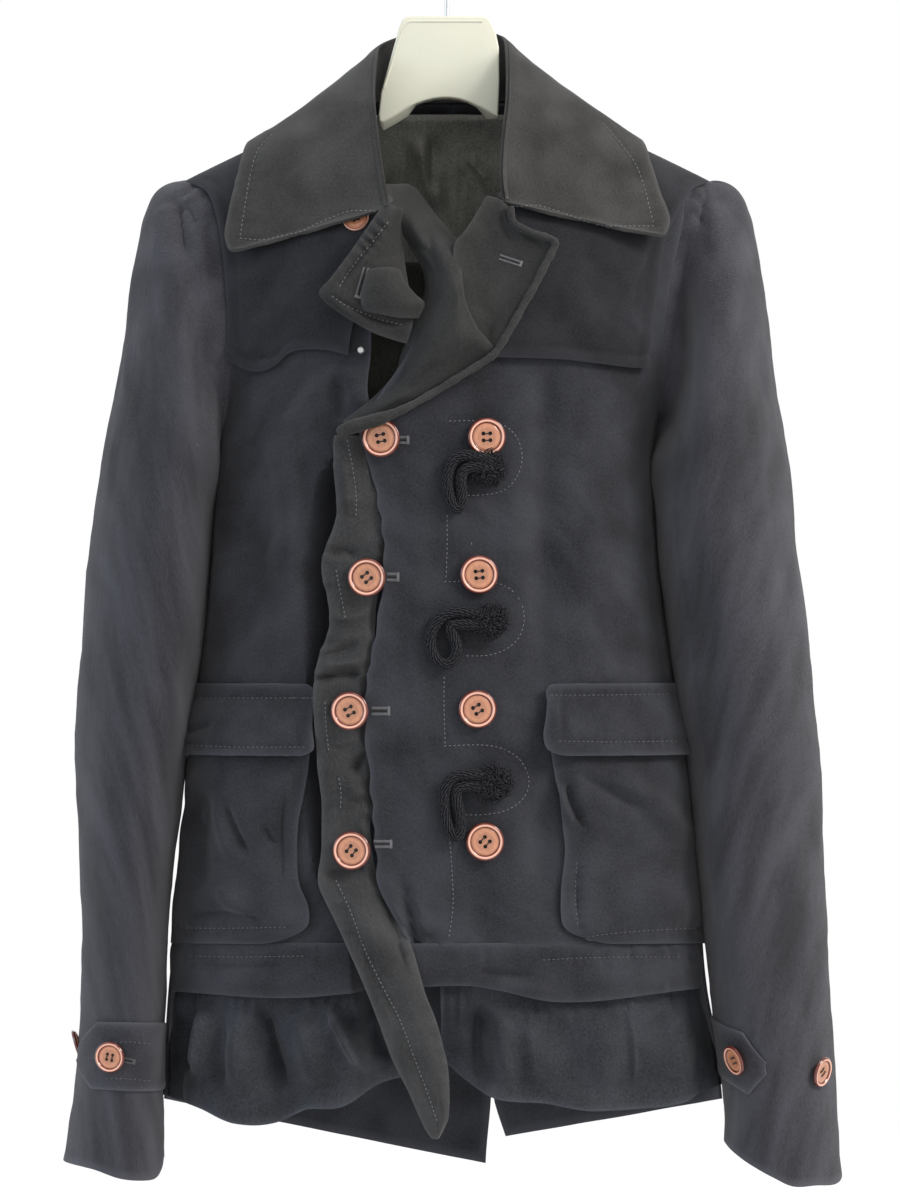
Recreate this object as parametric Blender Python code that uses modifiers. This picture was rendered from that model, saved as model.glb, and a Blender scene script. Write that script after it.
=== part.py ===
"""A double-breasted duffle coat hanging on a plain plastic hanger.

Units are millimetres in the tables and metres in the scene. The origin is the inside top of the hanger's
hook, where it hangs on a rod. +X runs towards the wearer's left, the front faces -Y and +Z is up.

The tables give x and z as they are seen from in front, drawn on the plane y = FRONT_PLANE. place() moves a
point from there to its true spot at depth y, along the line of sight from VIEW_DISTANCE away.
"""

from math import cos, hypot, pi, radians, sin, sqrt

import bmesh
import bpy
from mathutils import Matrix, Vector

MM = 0.001
FRONT_PLANE = -75.0
VIEW_DISTANCE = 2000.0
VIEW_CENTRE_X = 2.0
VIEW_CENTRE_Z = -467.0

WOOL = 2.2  # one layer of coat wool
HEM = 3.4  # wool turned up double
COLLAR = 2.8  # two layers, pressed
THIN = 1.5  # the peplum's and the edge strip's lighter cloth
LINING = 1.2
GAP = 0.4  # air between one piece and the next
LAY = 1.4  # between two faceted sheets that lie on each other
SEAM = 0.6  # half of the outer air at a sewn seam, which narrows to 0.3 inside

SHOULDER_TOP = -134.0
SHOULDER_SLOPE = 0.5
SHOULDER_ROUND = 40.0
NECK_REACH = 68.0
SHOULDER_DEPTH = 125.0  # how far below the shoulder line the body reaches its full depth
SECTION_POWER = 0.8
FRONT, BACK = -1, 1
LEFT, RIGHT = -1, 1  # as seen from in front

# The body's level sections: height, half width, middle, depth in front of and behind the side seams.
TORSO = (
    (-100, 176, 0, 82, 74),
    (-188, 176, 0, 84, 76),
    (-215, 170, -1, 85, 76),
    (-240, 166, -3, 86, 77),
    (-270, 162, -5, 87, 78),
    (-305, 160, -7, 88, 79),
    (-335, 152, -8, 88, 80),
    (-355, 147.5, -8, 88, 80),
    (-376, 145.5, -8, 88, 80),
    (-420, 147, -8, 88, 80),
    (-467, 150, -8, 88, 80),
    (-534, 160, -8, 88, 80),
    (-601, 168, -8, 88, 80),
    (-668, 175, -8, 88, 80),
    (-729, 178, -7, 88, 81),
    (-798, 186, -3, 90, 82),
    (-860, 190, -3, 90, 82),
)
SHOULDER_TIP = 173.0
SHOULDER_TIP_Z = -188.5
NECK_POINT_Z = -134.5
UNDERARM_Z = -376.0
# The armhole seam: height, distance from the body's middle.
ARMHOLE = (
    (SHOULDER_TIP_Z, SHOULDER_TIP),
    (-200, 160),
    (-215, 153),
    (-240, 146),
    (-270, 141),
    (-305, 139),
    (-335, 140),
    (-355, 143),
    (-376, 145.5),
)

# Sleeve rings from armhole to cuff: outer x, outer z, inner x, inner z, half depth, middle y, share of the
# plain ellipse against the armhole's own outline.
LEFT_SLEEVE = (
    (-178, -190, -155, -376, 52, 0, 0.0),
    (-187, -194, -155, -377, 54, 0, 0.18),
    (-196, -204, -155, -378, 59, 0, 0.42),
    (-202, -222, -155, -380, 65, 0, 0.68),
    (-208, -250, -155, -383, 69, 0, 0.9),
    (-215, -288, -156, -388, 70, -1, 1.0),
    (-222, -328, -157, -398, 70, -2, 1.0),
    (-231, -376, -158, -414, 69, -3, 1.0),
    (-240, -440, -161, -455, 67, -4, 1.0),
    (-246, -500, -167, -506, 65, -5, 1.0),
    (-248, -562, -176, -566, 62, -6, 1.0),
    (-248, -626, -183, -630, 60, -8, 1.0),
    (-246, -690, -189, -692, 57, -10, 1.0),
    (-245, -742, -191, -743, 55, -11, 1.0),
    (-250, -792, -192, -792, 53, -12, 1.0),
    (-256, -842, -192, -840, 51, -13, 1.0),
)
RIGHT_SLEEVE = (
    (178, -190, 139, -376, 52, 0, 0.0),
    (186, -195, 139, -377, 54, 0, 0.18),
    (195, -206, 139, -378, 59, 0, 0.42),
    (201, -222, 139, -380, 65, 0, 0.68),
    (208, -250, 139.5, -383, 69, 0, 0.9),
    (214, -288, 140, -388, 70, -1, 1.0),
    (220, -328, 141, -398, 70, -2, 1.0),
    (228, -376, 142, -414, 69, -3, 1.0),
    (235, -440, 145, -455, 67, -4, 1.0),
    (242, -500, 151, -506, 65, -5, 1.0),
    (248, -562, 160, -566, 62, -6, 1.0),
    (252, -626, 167, -630, 60, -8, 1.0),
    (254, -690, 174, -692, 57, -10, 1.0),
    (257, -742, 180, -743, 55, -11, 1.0),
    (260, -792, 186, -788, 53, -12, 1.0),
    (264, -842, 188, -828, 51, -13, 1.0),
)
SLEEVES = {LEFT: LEFT_SLEEVE, RIGHT: RIGHT_SLEEVE}
SLEEVE_HUG = 5.0  # how far the front and back of a sleeve bend round the body

# The collar from the wearer's right front corner, round the back, to the left one: place along it, then x, y
# and z of the neck seam, of the fold's crest and of the outer edge.
COLLAR_LINE = (
    (-1.00, -36, -76, -199, -40, -90, -204, -146, -64, -234),
    (-0.88, -44, -66, -188, -43, -82, -187, -149, -56, -221),
    (-0.72, -49, -50, -168, -47, -68, -160, -144, -46, -197),
    (-0.55, -51, -30, -149, -50, -50, -130, -138, -27, -173),
    (-0.42, -50, -4, -137, -49, -20, -106, -131, -2, -159.5),
    (-0.28, -43, 18, -133, -45, 12, -95, -112, 38, -165),
    (-0.14, -24, 28, -133, -25, 36, -88, -66, 56, -168),
    (0.00, 0, 30, -133, 0, 44, -84, 0, 68, -166),
    (0.14, 24, 28, -133, 22, 36, -86, 66, 56, -168),
    (0.28, 43, 18, -133, 38, 12, -90, 112, 38, -166),
    (0.42, 50, -4, -137, 41, -20, -102, 129, -2, -158.5),
    (0.55, 51, -30, -149, 41, -50, -130, 137, -27, -174),
    (0.72, 49, -50, -168, 38, -68, -160, 143, -46, -195),
    (0.88, 43, -66, -188, 37, -82, -184, 149, -56, -213),
    (1.00, 34, -76, -195, 39, -90, -200, 146, -64, -224),
)
FOLD_HALF = 4.5  # half the width of the collar's rolled fold
FOLD_DROP = 5.0
COLLAR_SPRING = 5.0  # how far the fall arches off the shoulder

# The fronts' edges from the neck down: share of the way down the panel, x, z. The wearer's left front, seen
# on the right, laps over the other one.
OVER_FRONT_EDGE = (
    (0.00, 57, NECK_POINT_Z),
    (0.06, 56, -152),
    (0.12, 52, -174),
    (0.17, 44, -196),
    (0.21, 30, -216),
    (0.25, 14, -234),
    (0.30, -6, -264),
    (0.36, -27, -306),
    (0.40, -44, -330),
    (0.43, -58, -352),
    (0.50, -48, -390),
    (0.60, -42, -450),
    (0.68, -54, -530),
    (0.80, -50, -600),
    (0.90, -42, -660),
    (1.00, -14, -698),
)
UNDER_FRONT_EDGE = (
    (0.00, -57, NECK_POINT_Z),
    (0.06, -56, -152),
    (0.12, -52, -174),
    (0.17, -47, -196),
    (0.21, -44, -216),
    (0.25, -46, -240),
    (0.30, -56, -270),
    (0.36, -62, -300),
    (0.42, -62, -335),
    (0.47, -34, -372),
    (0.60, -24, -450),
    (0.80, -20, -580),
    (1.00, -24, -698),
)
BODY_HEM_Z = -699.0
BAND_FOOT_Z = -732.0
BACK_FOOT_Z = -801.0  # at the side seams
VENT_FOOT_Z = {LEFT: -844.0, RIGHT: -826.0}
VENT_SPREAD = {LEFT: 4.0, RIGHT: 14.0}  # how far each half's foot swings from the seam
BACK_SEAM_X = (3.0, 30.0)  # the middle seam drifts to one side on its way down
LAP_RISE = 5.5  # how far the lapped front stands over the one below it
FOLD_IN = 11.0  # how far the lower front folds in under it
# Where the lower front folds in under the upper one: height, x.
UNDER_FOLD = ((-345, -60), (-400, -90), (-600, -88), (-660, -82), (-700, -66), (-860, -66))

# The hem and the waves of the peplum below each front: x, foot z, how far the foot stands out.
RIGHT_PEPLUM = (
    (-181, -798, -2),
    (-172, -802, 4),
    (-150, -808, 10),
    (-130, -817, 6),
    (-109, -818, -3),
    (-88, -808, 8),
    (-66, -806, 10),
    (-46, -795, 3),
    (-28, -790, -4),
)
LEFT_PEPLUM = (
    (-4, -776, -18),
    (12, -790, -9),
    (30, -801, 4),
    (62, -805, 0),
    (90, -809, 8),
    (128, -807, 1),
    (155, -799, 7),
    (172, -791, -2),
)
PEPLUM_TOP_Z = -722.0
SIDE_INSET = 5.0  # how far the peplum's ends stay inside the body's widest line

YOKE_LIFT = 3.4
YOKE = 2.0
YOKE_INSET = 3.0  # the yoke's free edge stays this far back from the front's edge
NECK_DROP = 5.0  # how far the back's inner and outer layers start below the neck's edge
# The yokes' lower edges: distance from the middle, z.
RIGHT_YOKE_FOOT = (
    (56, -306),
    (64, -304),
    (80, -300),
    (98, -300),
    (106, -303),
    (115, -311),
    (125, -314),
    (136, -311),
    (150, -301),
)
LEFT_YOKE_FOOT = ((10, -305), (40, -305), (76, -306), (103, -309), (128, -311), (145, -306))
BACK_YOKE_FOOT_Z = -292.0

# Patch pockets: height, x of the edge nearer the front opening.
RIGHT_POCKET_EDGE = (
    (-560, -91),
    (-576, -92),
    (-594, -94.5),
    (-614, -98.5),
    (-635, -100),
    (-655, -98.5),
    (-672, -92),
    (-684, -92),
    (-692, -98),
    (-697, -106),
)
LEFT_POCKET_EDGE = (
    (-560, 68),
    (-581, 71),
    (-611, 75.5),
    (-634, 78.5),
    (-660, 76),
    (-680, 76),
    (-690, 80),
    (-697, 92),
)
FLAP_TOP_Z = -523.0
FLAP_FOOT_Z = -571.0
RIGHT_FLAP_EDGE = ((-523, -88), (-550, -88), (-566, -86.5), (-571, -89))
LEFT_FLAP_EDGE = ((-523, 64.5), (-534, 65.5), (-547, 64), (-558, 62.5), (-566, 64.5), (-571, 69))

# The turned-out edge strip: height, left x, right x, how far the left and right edges stand out.
STRIP = (
    (-357, -73, -46, 8, 2.2),
    (-380, -72, -42, 9, 2.6),
    (-407, -71, -38, 9, 3),
    (-444, -82, -37, 10, 3),
    (-467, -78, -45, 9, 3),
    (-484, -76, -46, 9, 3),
    (-507, -84, -49, 10, 3),
    (-527, -86, -51, 10, 3),
    (-574, -85, -48, 10, 3),
    (-601, -82, -45, 9, 3),
    (-634, -82, -46, 9, 3),
    (-655, -84, -45, 9, 3),
    (-671, -78, -41, 10, 4),
    (-701, -64, -24, 12, 11),
    (-738, -48, -13, 14, 13),
    (-775, -35, -1, 14, 13),
    (-795, -25, 1, 13, 13),
    (-812, -19, 1, 12, 12),
    (-826, -12, -4, 11, 11),
)

# Lapels, row by row down from the neck: x and z at the rolled edge, then at the outer edge.
LEFT_LAPEL = (
    (0.00, 30, -201, 41, -212),
    (0.10, 21, -209, 66, -225),
    (0.20, 12, -219, 70, -229),
    (0.32, 0, -246, 58, -257),
    (0.43, -9, -266, 48, -277),
    (0.54, -17, -283, 39, -291),
    (0.64, -26, -298, 26, -305),
    (0.74, -34, -310, 8, -317),
    (0.84, -46, -327, -17, -332),
    (0.92, -58, -339, -42, -343),
    (1.00, -68, -345, -66, -349),
)
RIGHT_LAPEL = (
    (0.00, -33, -210, -46, -215),
    (0.15, -28, -222, -58, -226),
    (0.30, -22, -237, -68, -238),
    (0.45, -17, -251, -77, -249),
    (0.60, -14, -264, -85, -260),
    (0.74, -18, -276, -80, -269),
    (0.88, -24, -286, -62, -280),
    (1.00, -29, -294, -45, -289),
)
LAPEL = 3.0

LINING_REACH = 52.0
LINING_FOOT_Z = -340.0
TAB_START_X, TAB_END_X = -55.0, -20.0
TAB_TOP_Z, TAB_FOOT_Z = -246.0, -264.0
TAB_LIFT = 19.0

# Buttons: name, x, z, height over the body.
FRONT_BUTTONS = (
    ("button_1_right", -43, -359, 9),
    ("button_2_right", -52, -452, 9),
    ("button_3_right", -63, -541, 10),
    ("button_4_right", -62, -634, 10),
    ("button_1_left", 26, -358, 3.6),
    ("button_2_left", 21, -450, 3.8),
    ("button_3_left", 20, -540, 3.8),
    ("button_4_left", 25, -628.5, 3.7),
)
COLLAR_BUTTON = ("button_collar", -62, -224, 3.9)
BUTTON_RADIUS = 12.8
COLLAR_BUTTON_RADIUS = 9.0
CUFF_BUTTON_RADIUS = 10.5
BUTTON_THICKNESS = 3.6
SNAP = (-57, -300, 0.5)
SNAP_RADIUS = 2.7
# Cuff buttons: name, sleeve, place along it, angle round it in degrees, height over the cloth.
CUFF_BUTTONS = (
    ("cuff_button_right_1", LEFT, 0.932, 34, 4.4),
    ("cuff_button_right_2", LEFT, 0.917, -2, 0.6),
    ("cuff_button_left_1", RIGHT, 0.934, 128, 4.4),
    ("cuff_button_left_2", RIGHT, 0.938, 36, 0.6),
)

# Rope loops, each from its root round and back: x, z, height over the body.
LOOPS = (
    (
        (36, -375, 9),
        (24, -379, 9),
        (13, -375, 9),
        (3, -373, 9),
        (1, -383, 9),
        (4, -398, 8),
        (8, -407, 8),
        (13, -402, 8),
        (12, -390, 9),
        (17, -387, 9),
        (27, -391, 9),
        (35, -389, 9),
    ),
    (
        (32, -476, 9),
        (20, -474, 9),
        (6, -473, 9),
        (-2, -476, 9),
        (-10, -484, 9),
        (-13, -494, 8),
        (-12, -506, 8),
        (-4, -513, 8),
        (5, -511, 8),
        (9, -502, 8),
        (5, -492, 9),
        (9, -487, 9),
        (20, -487, 9),
        (30, -490, 9),
    ),
    (
        (36, -583, 9),
        (22, -582, 9),
        (8, -584, 9),
        (0, -592, 9),
        (-3, -604, 8),
        (-4, -618, 8),
        (2, -627, 8),
        (10, -625, 8),
        (13, -614, 8),
        (8, -603, 9),
        (10, -597, 9),
        (22, -599, 9),
        (34, -597, 9),
    ),
)
ROPE_RADIUS = 3.1

# The hanger's plate: outline seen from in front.
PLATE = (
    (-26, -75),
    (25, -75),
    (30, -80),
    (35, -145),
    (32, -146),
    (21, -138),
    (8, -133),
    (-5, -132),
    (-18, -137),
    (-31, -145),
    (-43, -152),
    (-45, -151),
    (-34, -79),
    (-31, -76),
)
PLATE_Y = -5.0
PLATE_HALF = 4.5
# The hanger's arms: distance from the middle, top z, foot z, half depth.
ARM = (
    (47, -142, -160, 6),
    (60, -143, -168, 11),
    (90, -156, -186, 17),
    (120, -170, -204, 20),
    (145, -183, -214, 20),
    (158, -193, -214, 14),
)
HOOK_RADIUS = 18.0
WIRE_RADIUS = 1.9

COLOURS = {
    "wool": ((0.052, 0.055, 0.068), 0.9, 0.0),
    "peplum_cloth": ((0.035, 0.038, 0.048), 0.85, 0.0),
    "collar_wool": ((0.062, 0.06, 0.06), 0.9, 0.0),
    "facing": ((0.05, 0.049, 0.047), 0.75, 0.0),
    "lining": ((0.055, 0.055, 0.05), 0.45, 0.0),
    "rope": ((0.012, 0.012, 0.014), 0.9, 0.0),
    "button": ((0.38, 0.13, 0.06), 0.25, 0.0),
    "hanger_plastic": ((0.68, 0.68, 0.58), 0.45, 0.0),
    "steel": ((0.6, 0.6, 0.6), 0.3, 1.0),
}


def clear_scene():
    for old in list(bpy.data.objects):
        bpy.data.objects.remove(old, do_unlink=True)


def new_collection(name):
    made = bpy.data.collections.new(name)
    bpy.context.scene.collection.children.link(made)
    return made


def make_materials():
    made = {}
    for name, (colour, roughness, metallic) in COLOURS.items():
        material = bpy.data.materials.new(name)
        material.use_nodes = True
        surface = material.node_tree.nodes["Principled BSDF"]
        surface.inputs["Base Color"].default_value = (*colour, 1.0)
        surface.inputs["Roughness"].default_value = roughness
        surface.inputs["Metallic"].default_value = metallic
        made[name] = material
    return made


def blend(a, b, share):
    return a + (b - a) * share


def ease(value, start, end):
    """0 before start, 1 after end, and a soft step between them."""
    share = min(1.0, max(0.0, (value - start) / (end - start)))
    return share * share * (3 - 2 * share)


def track(rows, at):
    """A smooth line through rows of (key, value, ...), read at one key, as a tuple of the values."""
    ordered = rows if rows[0][0] < rows[-1][0] else rows[::-1]
    if at <= ordered[0][0]:
        return ordered[0][1:]
    if at >= ordered[-1][0]:
        return ordered[-1][1:]
    index = next(i for i in range(len(ordered) - 1) if at <= ordered[i + 1][0])
    low, high = ordered[index], ordered[index + 1]
    before = ordered[max(0, index - 1)]
    after = ordered[min(len(ordered) - 1, index + 2)]
    span = high[0] - low[0]
    t = (at - low[0]) / span
    values = []
    for a, b, c, d in zip(before[1:], low[1:], high[1:], after[1:]):
        rise_low = (c - a) / (high[0] - before[0]) * span
        rise_high = (d - b) / (after[0] - low[0]) * span
        values.append(
            b * (2 * t**3 - 3 * t**2 + 1)
            + rise_low * (t**3 - 2 * t**2 + t)
            + c * (3 * t**2 - 2 * t**3)
            + rise_high * (t**3 - t**2)
        )
    return tuple(values)


def place(x, y, z):
    """The true point at depth y that is seen at x and z of the front plane."""
    scale = 1 + (y - FRONT_PLANE) / VIEW_DISTANCE
    return Vector((blend(VIEW_CENTRE_X, x, scale), y, blend(VIEW_CENTRE_Z, z, scale)))


def shoulder_z(x):
    return SHOULDER_TOP - SHOULDER_SLOPE * (hypot(x, SHOULDER_ROUND) - NECK_REACH)


def body_y(x, z, side):
    half_width, middle, front_depth, back_depth = track(TORSO, z)
    across = sqrt(max(0.0, 1 - ((x - middle) / half_width) ** 2))
    below = min(max(shoulder_z(x) - z, 0.0), SHOULDER_DEPTH)
    fullness = sqrt(1 - (1 - below / SHOULDER_DEPTH) ** 2)
    depth = front_depth if side == FRONT else back_depth
    return side * depth * across**SECTION_POWER * fullness


def on_body(x, z, side, lift=0.0):
    """The body's outer surface at a seen place, moved out by lift along its normal."""
    here = place(x, body_y(x, z, side), z)
    if not lift:
        return here
    _, middle, _, _ = track(TORSO, z)
    step = 1.5 if x < middle else -1.5
    inward = place(x + step, body_y(x + step, z, side), z) - here
    down = place(x, body_y(x, z - 1.5, side), z - 1.5) - here
    normal = inward.cross(down) * (-side if step < 0 else side)
    return here + normal.normalized() * lift


def armhole(z, side, face):
    """Where the armhole seam runs at a height: seen x, and y on the body's front or back."""
    middle = track(TORSO, z)[1]
    x = middle + side * track(ARMHOLE, z)[0]
    return x, body_y(x, z, face)


def cloth(name, columns, rows, point, facing, wall, material):
    """A sheet through point(u, v), with its outer side towards facing, and a wall behind it."""
    shape = bmesh.new()
    bmesh.ops.create_grid(shape, x_segments=columns, y_segments=rows, size=0.5)
    for vert in shape.verts:
        vert.co = point(vert.co.x + 0.5, vert.co.y + 0.5) * MM
    shape.normal_update()
    total = Vector()
    for face in shape.faces:
        total += face.normal * face.calc_area()
    if total.dot(Vector(facing)) < 0:
        bmesh.ops.reverse_faces(shape, faces=shape.faces)
    made = finish_mesh(name, shape, material)
    solid = made.modifiers.new("wall", "SOLIDIFY")
    solid.thickness = wall * MM
    solid.offset = -1.0
    solid.use_even_offset = True
    return made


def finish_mesh(name, shape, material):
    mesh = bpy.data.meshes.new(name)
    shape.to_mesh(mesh)
    shape.free()
    mesh.materials.append(material)
    mesh.shade_smooth()
    made = bpy.data.objects.new(name, mesh)
    coat.objects.link(made)
    return made


def side_spacing(u):
    """Packs the columns towards the side seam, where the body turns fastest."""
    return 1 - cos(u * pi / 2)


def shoulder_spacing(v):
    """Packs the rows towards the shoulder line, where the cloth turns over it."""
    return v**1.8


# ---- body -------------------------------------------------------------------------------------------------


def side_edge(v, side, hem_z):
    """The armhole and then the side seam, from the shoulder's tip to the hem."""
    z = blend(SHOULDER_TIP_Z, hem_z, v)
    middle, half_width = track(TORSO, z)[1], track(TORSO, z)[0]
    reach = track(ARMHOLE, z)[0] if z > UNDERARM_Z else half_width
    return middle + side * (reach - 0.5 * ease(z, UNDERARM_Z, UNDERARM_Z + 30)), z


def front_panel(name, side, edge, lift, columns, rows, material):
    """One front, from the shoulder line to the hem and from the side seam to its own edge."""

    def point(u, v):
        v = shoulder_spacing(v)
        side_x, side_z = side_edge(v, side, BODY_HEM_Z + GAP)
        edge_x, edge_z = track(edge, v)
        share = side_spacing(u)
        x = blend(side_x, edge_x, share)
        z = blend(side_z, edge_z, share)
        z = min(z + shoulder_sag(x, share) * (1 - v) ** 3, shoulder_z(x))
        spot = on_body(x, z, FRONT, lift(x, z))
        return spot - Vector((0, seam_air(x), 0))

    return cloth(name, columns, rows, point, (0, -1, 0), WOOL, material)


def shoulder_sag(x, share):
    """How far the shoulder line runs above a straight line from tip to neck."""
    return shoulder_z(x) - blend(SHOULDER_TIP_Z, NECK_POINT_Z, share)


def seam_air(x):
    """Wider at the shoulder's tip, where the two panels turn towards each other."""
    return SEAM * (1 + ease(abs(x), 150, SHOULDER_TIP))


def over_lift(x, z):
    """The lapped front rises over the one below it."""
    return LAP_RISE * (1 - ease(x, -50, 70)) * ease(-z, 200, 330)


def under_lift(x, z):
    """The lower front folds in sharply under the lapped one."""
    (fold_x,) = track(UNDER_FOLD, z)
    return -FOLD_IN * ease(x, fold_x, fold_x + FOLD_IN) * ease(-z, 280, 345)


def back_panel(name, side, columns, rows, material):
    """Half of the back, from the side seam to the middle seam, which opens into a vent at the foot."""

    def point(u, v):
        v = shoulder_spacing(v)
        side_x, side_z = side_edge(v, side, BACK_FOOT_Z)
        seam_z = blend(SHOULDER_TOP, VENT_FOOT_Z[side], v)
        seam_x = blend(*BACK_SEAM_X, ease(-seam_z, 300, 800))
        seam_x += side * (SEAM + VENT_SPREAD[side] * ease(-seam_z, 790, 850))
        share = side_spacing(u)
        x = blend(side_x, seam_x, share)
        z = blend(side_z, seam_z, share)
        z = min(z + (neck_z(x) - blend(SHOULDER_TIP_Z, SHOULDER_TOP, share)) * (1 - v) ** 3, neck_z(x))
        spot = on_body(x, z, BACK)
        return spot + Vector((0, seam_air(x), 0))

    return cloth(name, columns, rows, point, (0, 1, 0), WOOL, material)


def neck_z(x):
    """The upper edge of the back: the shoulder line, then a shallow curve across the neck."""
    return min(shoulder_z(x), SHOULDER_TOP)


def hem_band(name, start, end, lift, columns, material):
    """A turned-up band under a front's hem, along seen x from the side seam to the opening."""

    def outline(u, v):
        return blend(start, end, side_spacing(u)), blend(BODY_HEM_Z - GAP, BAND_FOOT_Z, v)

    def height(x, z, u, v):
        return lift(x, z) + 1.2 * sin(v * pi)

    return overlay(name, columns, 3, outline, height, HEM, material)


def peplum(name, waves, lift, columns, material):
    """The thin ruffle that comes out from under the hem band."""
    side_x, near_x = sorted((waves[0][0], waves[-1][0]), key=abs, reverse=True)

    def outline(u, v):
        x = blend(side_x, near_x, blend(u, side_spacing(u), 0.6))
        z = blend(PEPLUM_TOP_Z, track(waves, x)[0], v)
        half_width, middle = track(TORSO, z)[:2]
        return middle + (x - middle) * min(1, (half_width - SIDE_INSET) / abs(side_x - middle)), z

    def height(x, z, u, v):
        free = ease(-z, -BAND_FOOT_Z - 3, 775)
        return lift(x, BAND_FOOT_Z) - HEM - 2.4 * LAY + (track(waves, x)[1] + 3) * free

    return overlay(name, columns, 6, outline, height, THIN, material)


# ---- overlays on the fronts -------------------------------------------------------------------------------


def overlay(name, columns, rows, outline, lift, wall, material, face=FRONT):
    """A piece lying on the body: outline(u, v) gives seen x and z, and lift(x, z, u, v) its outer height."""

    def point(u, v):
        x, z = outline(u, v)
        return on_body(x, z, face, lift(x, z, u, v))

    return cloth(name, columns, rows, point, (0, face, 0), wall, material)


def yoke(name, side, foot, edge, columns, material):
    """The shoulder piece over a front, from the shoulder line down to its shaped foot."""
    inner = [(z, x) for _, x, z in edge]

    def outline(u, v):
        v = shoulder_spacing(v)
        side_x, _ = side_edge_at(blend(SHOULDER_TIP_Z, track(foot, SHOULDER_TIP)[0], v), side)
        near_x = track(inner, blend(SHOULDER_TOP, track(foot, 0)[0], v))[0] + side * YOKE_INSET
        x = blend(side_x, near_x, side_spacing(u))
        return x, blend(shoulder_z(x), track(foot, abs(x))[0], v)

    def height(x, z, u, v):
        return YOKE_LIFT + (over_lift(x, z) + 0.4 if side == RIGHT else 0)

    return overlay(name, columns, 8, outline, height, YOKE, material)


def side_edge_at(z, side):
    return armhole(z, side, FRONT)[0] - side * 2 * GAP, z


def pocket(name, side, edge, columns, material):
    """A patch pocket from the side seam to its own shaped edge, standing off the body between its seams."""
    top, foot = edge[0][0], edge[-1][0]

    def outline(u, v):
        z = blend(top, foot, v)
        half_width, middle = track(TORSO, z)[:2]
        return blend(middle + side * (half_width - 3), track(edge, z)[0], side_spacing(u)), z

    def height(x, z, u, v):
        return LAY + WOOL + 4.5 * ease(u, 0, 0.5) * ease(1 - u, 0, 0.15) * min(1, 2.2 * sin(v * pi))

    return overlay(name, columns, 8, outline, height, WOOL, material)


def flap(name, side, edge, columns, material):
    """A pocket's flap: sewn down along its top, and standing off the pocket at its foot."""

    def outline(u, v):
        z = blend(FLAP_TOP_Z, FLAP_FOOT_Z, v)
        half_width, middle = track(TORSO, z)[:2]
        return blend(middle + side * (half_width - 3), track(edge, z)[0], side_spacing(u)), z

    def height(x, z, u, v):
        return LAY + WOOL + 8.5 * ease(v, 0, 1.0) * ease(u, -0.15, 0.25)

    return overlay(name, columns, 3, outline, height, WOOL, material)


def edge_strip(material):
    """The facing along the lapped front's edge, turned out to show, with a free tongue below the hem."""

    def outline(u, v):
        z = blend(STRIP[0][0], STRIP[-1][0], v)
        left, right, _, _ = track(STRIP, z)
        return blend(left, right, u), z

    def height(x, z, u, v):
        _, _, left, right = track(STRIP, z)
        return blend(left, right, ease(u, 0, 0.75))

    return overlay("edge_strip", 4, 22, outline, height, THIN, material)


def lining_back(material):
    """The inside of the back, as far down as the open neck shows it."""

    def outline(u, v):
        x = blend(-LINING_REACH, LINING_REACH, u)
        return x, blend(neck_z(x) - NECK_DROP, LINING_FOOT_Z, shoulder_spacing(v))

    def height(x, z, u, v):
        return -WOOL - 1.6 * LAY

    return overlay("lining_back", 8, 7, outline, height, LINING, material, BACK)


def yoke_back(material):
    """One piece across both shoulders behind, from the shoulder lines and neck to a level foot."""

    def outline(u, v):
        v = shoulder_spacing(v)
        side = 1 if u > 0.5 else -1
        reach = side_edge_at(blend(SHOULDER_TIP_Z, BACK_YOKE_FOOT_Z, v), side)[0]
        x = reach * sin(abs(u - 0.5) * pi)
        top = neck_z(x) - NECK_DROP * (1 - ease(abs(x), 50, 85))
        return x, blend(top, BACK_YOKE_FOOT_Z, v)

    def height(x, z, u, v):
        return YOKE_LIFT + 0.5

    return overlay("yoke_back", 16, 7, outline, height, YOKE, material, BACK)


def throat_tab(material):
    """The small strap across the lower front's lapel."""

    def outline(u, v):
        return blend(TAB_START_X, TAB_END_X, u), blend(TAB_TOP_Z, TAB_FOOT_Z, v)

    def height(x, z, u, v):
        return TAB_LIFT + 3 * sin(u * pi)

    return overlay("throat_tab", 5, 2, outline, height, LAPEL, material)


def lapel(name, rows, base, crest, material):
    """A turned-out lapel: it rolls up off its inner edge and lies flat at its outer one."""

    def outline(u, v):
        inner_x, inner_z, outer_x, outer_z = track(rows, v)
        return blend(inner_x, outer_x, u), blend(inner_z, outer_z, u)

    def height(x, z, u, v):
        roll = crest * sin(min(1, u / 0.5) * pi) * sin(min(1, 0.15 + v) * pi) ** 0.5
        return base + LAPEL + over_lift(x, z) + max(0, roll)

    return overlay(name, 6, 10, outline, height, LAPEL, material)


# ---- sleeves ----------------------------------------------------------------------------------------------


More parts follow.
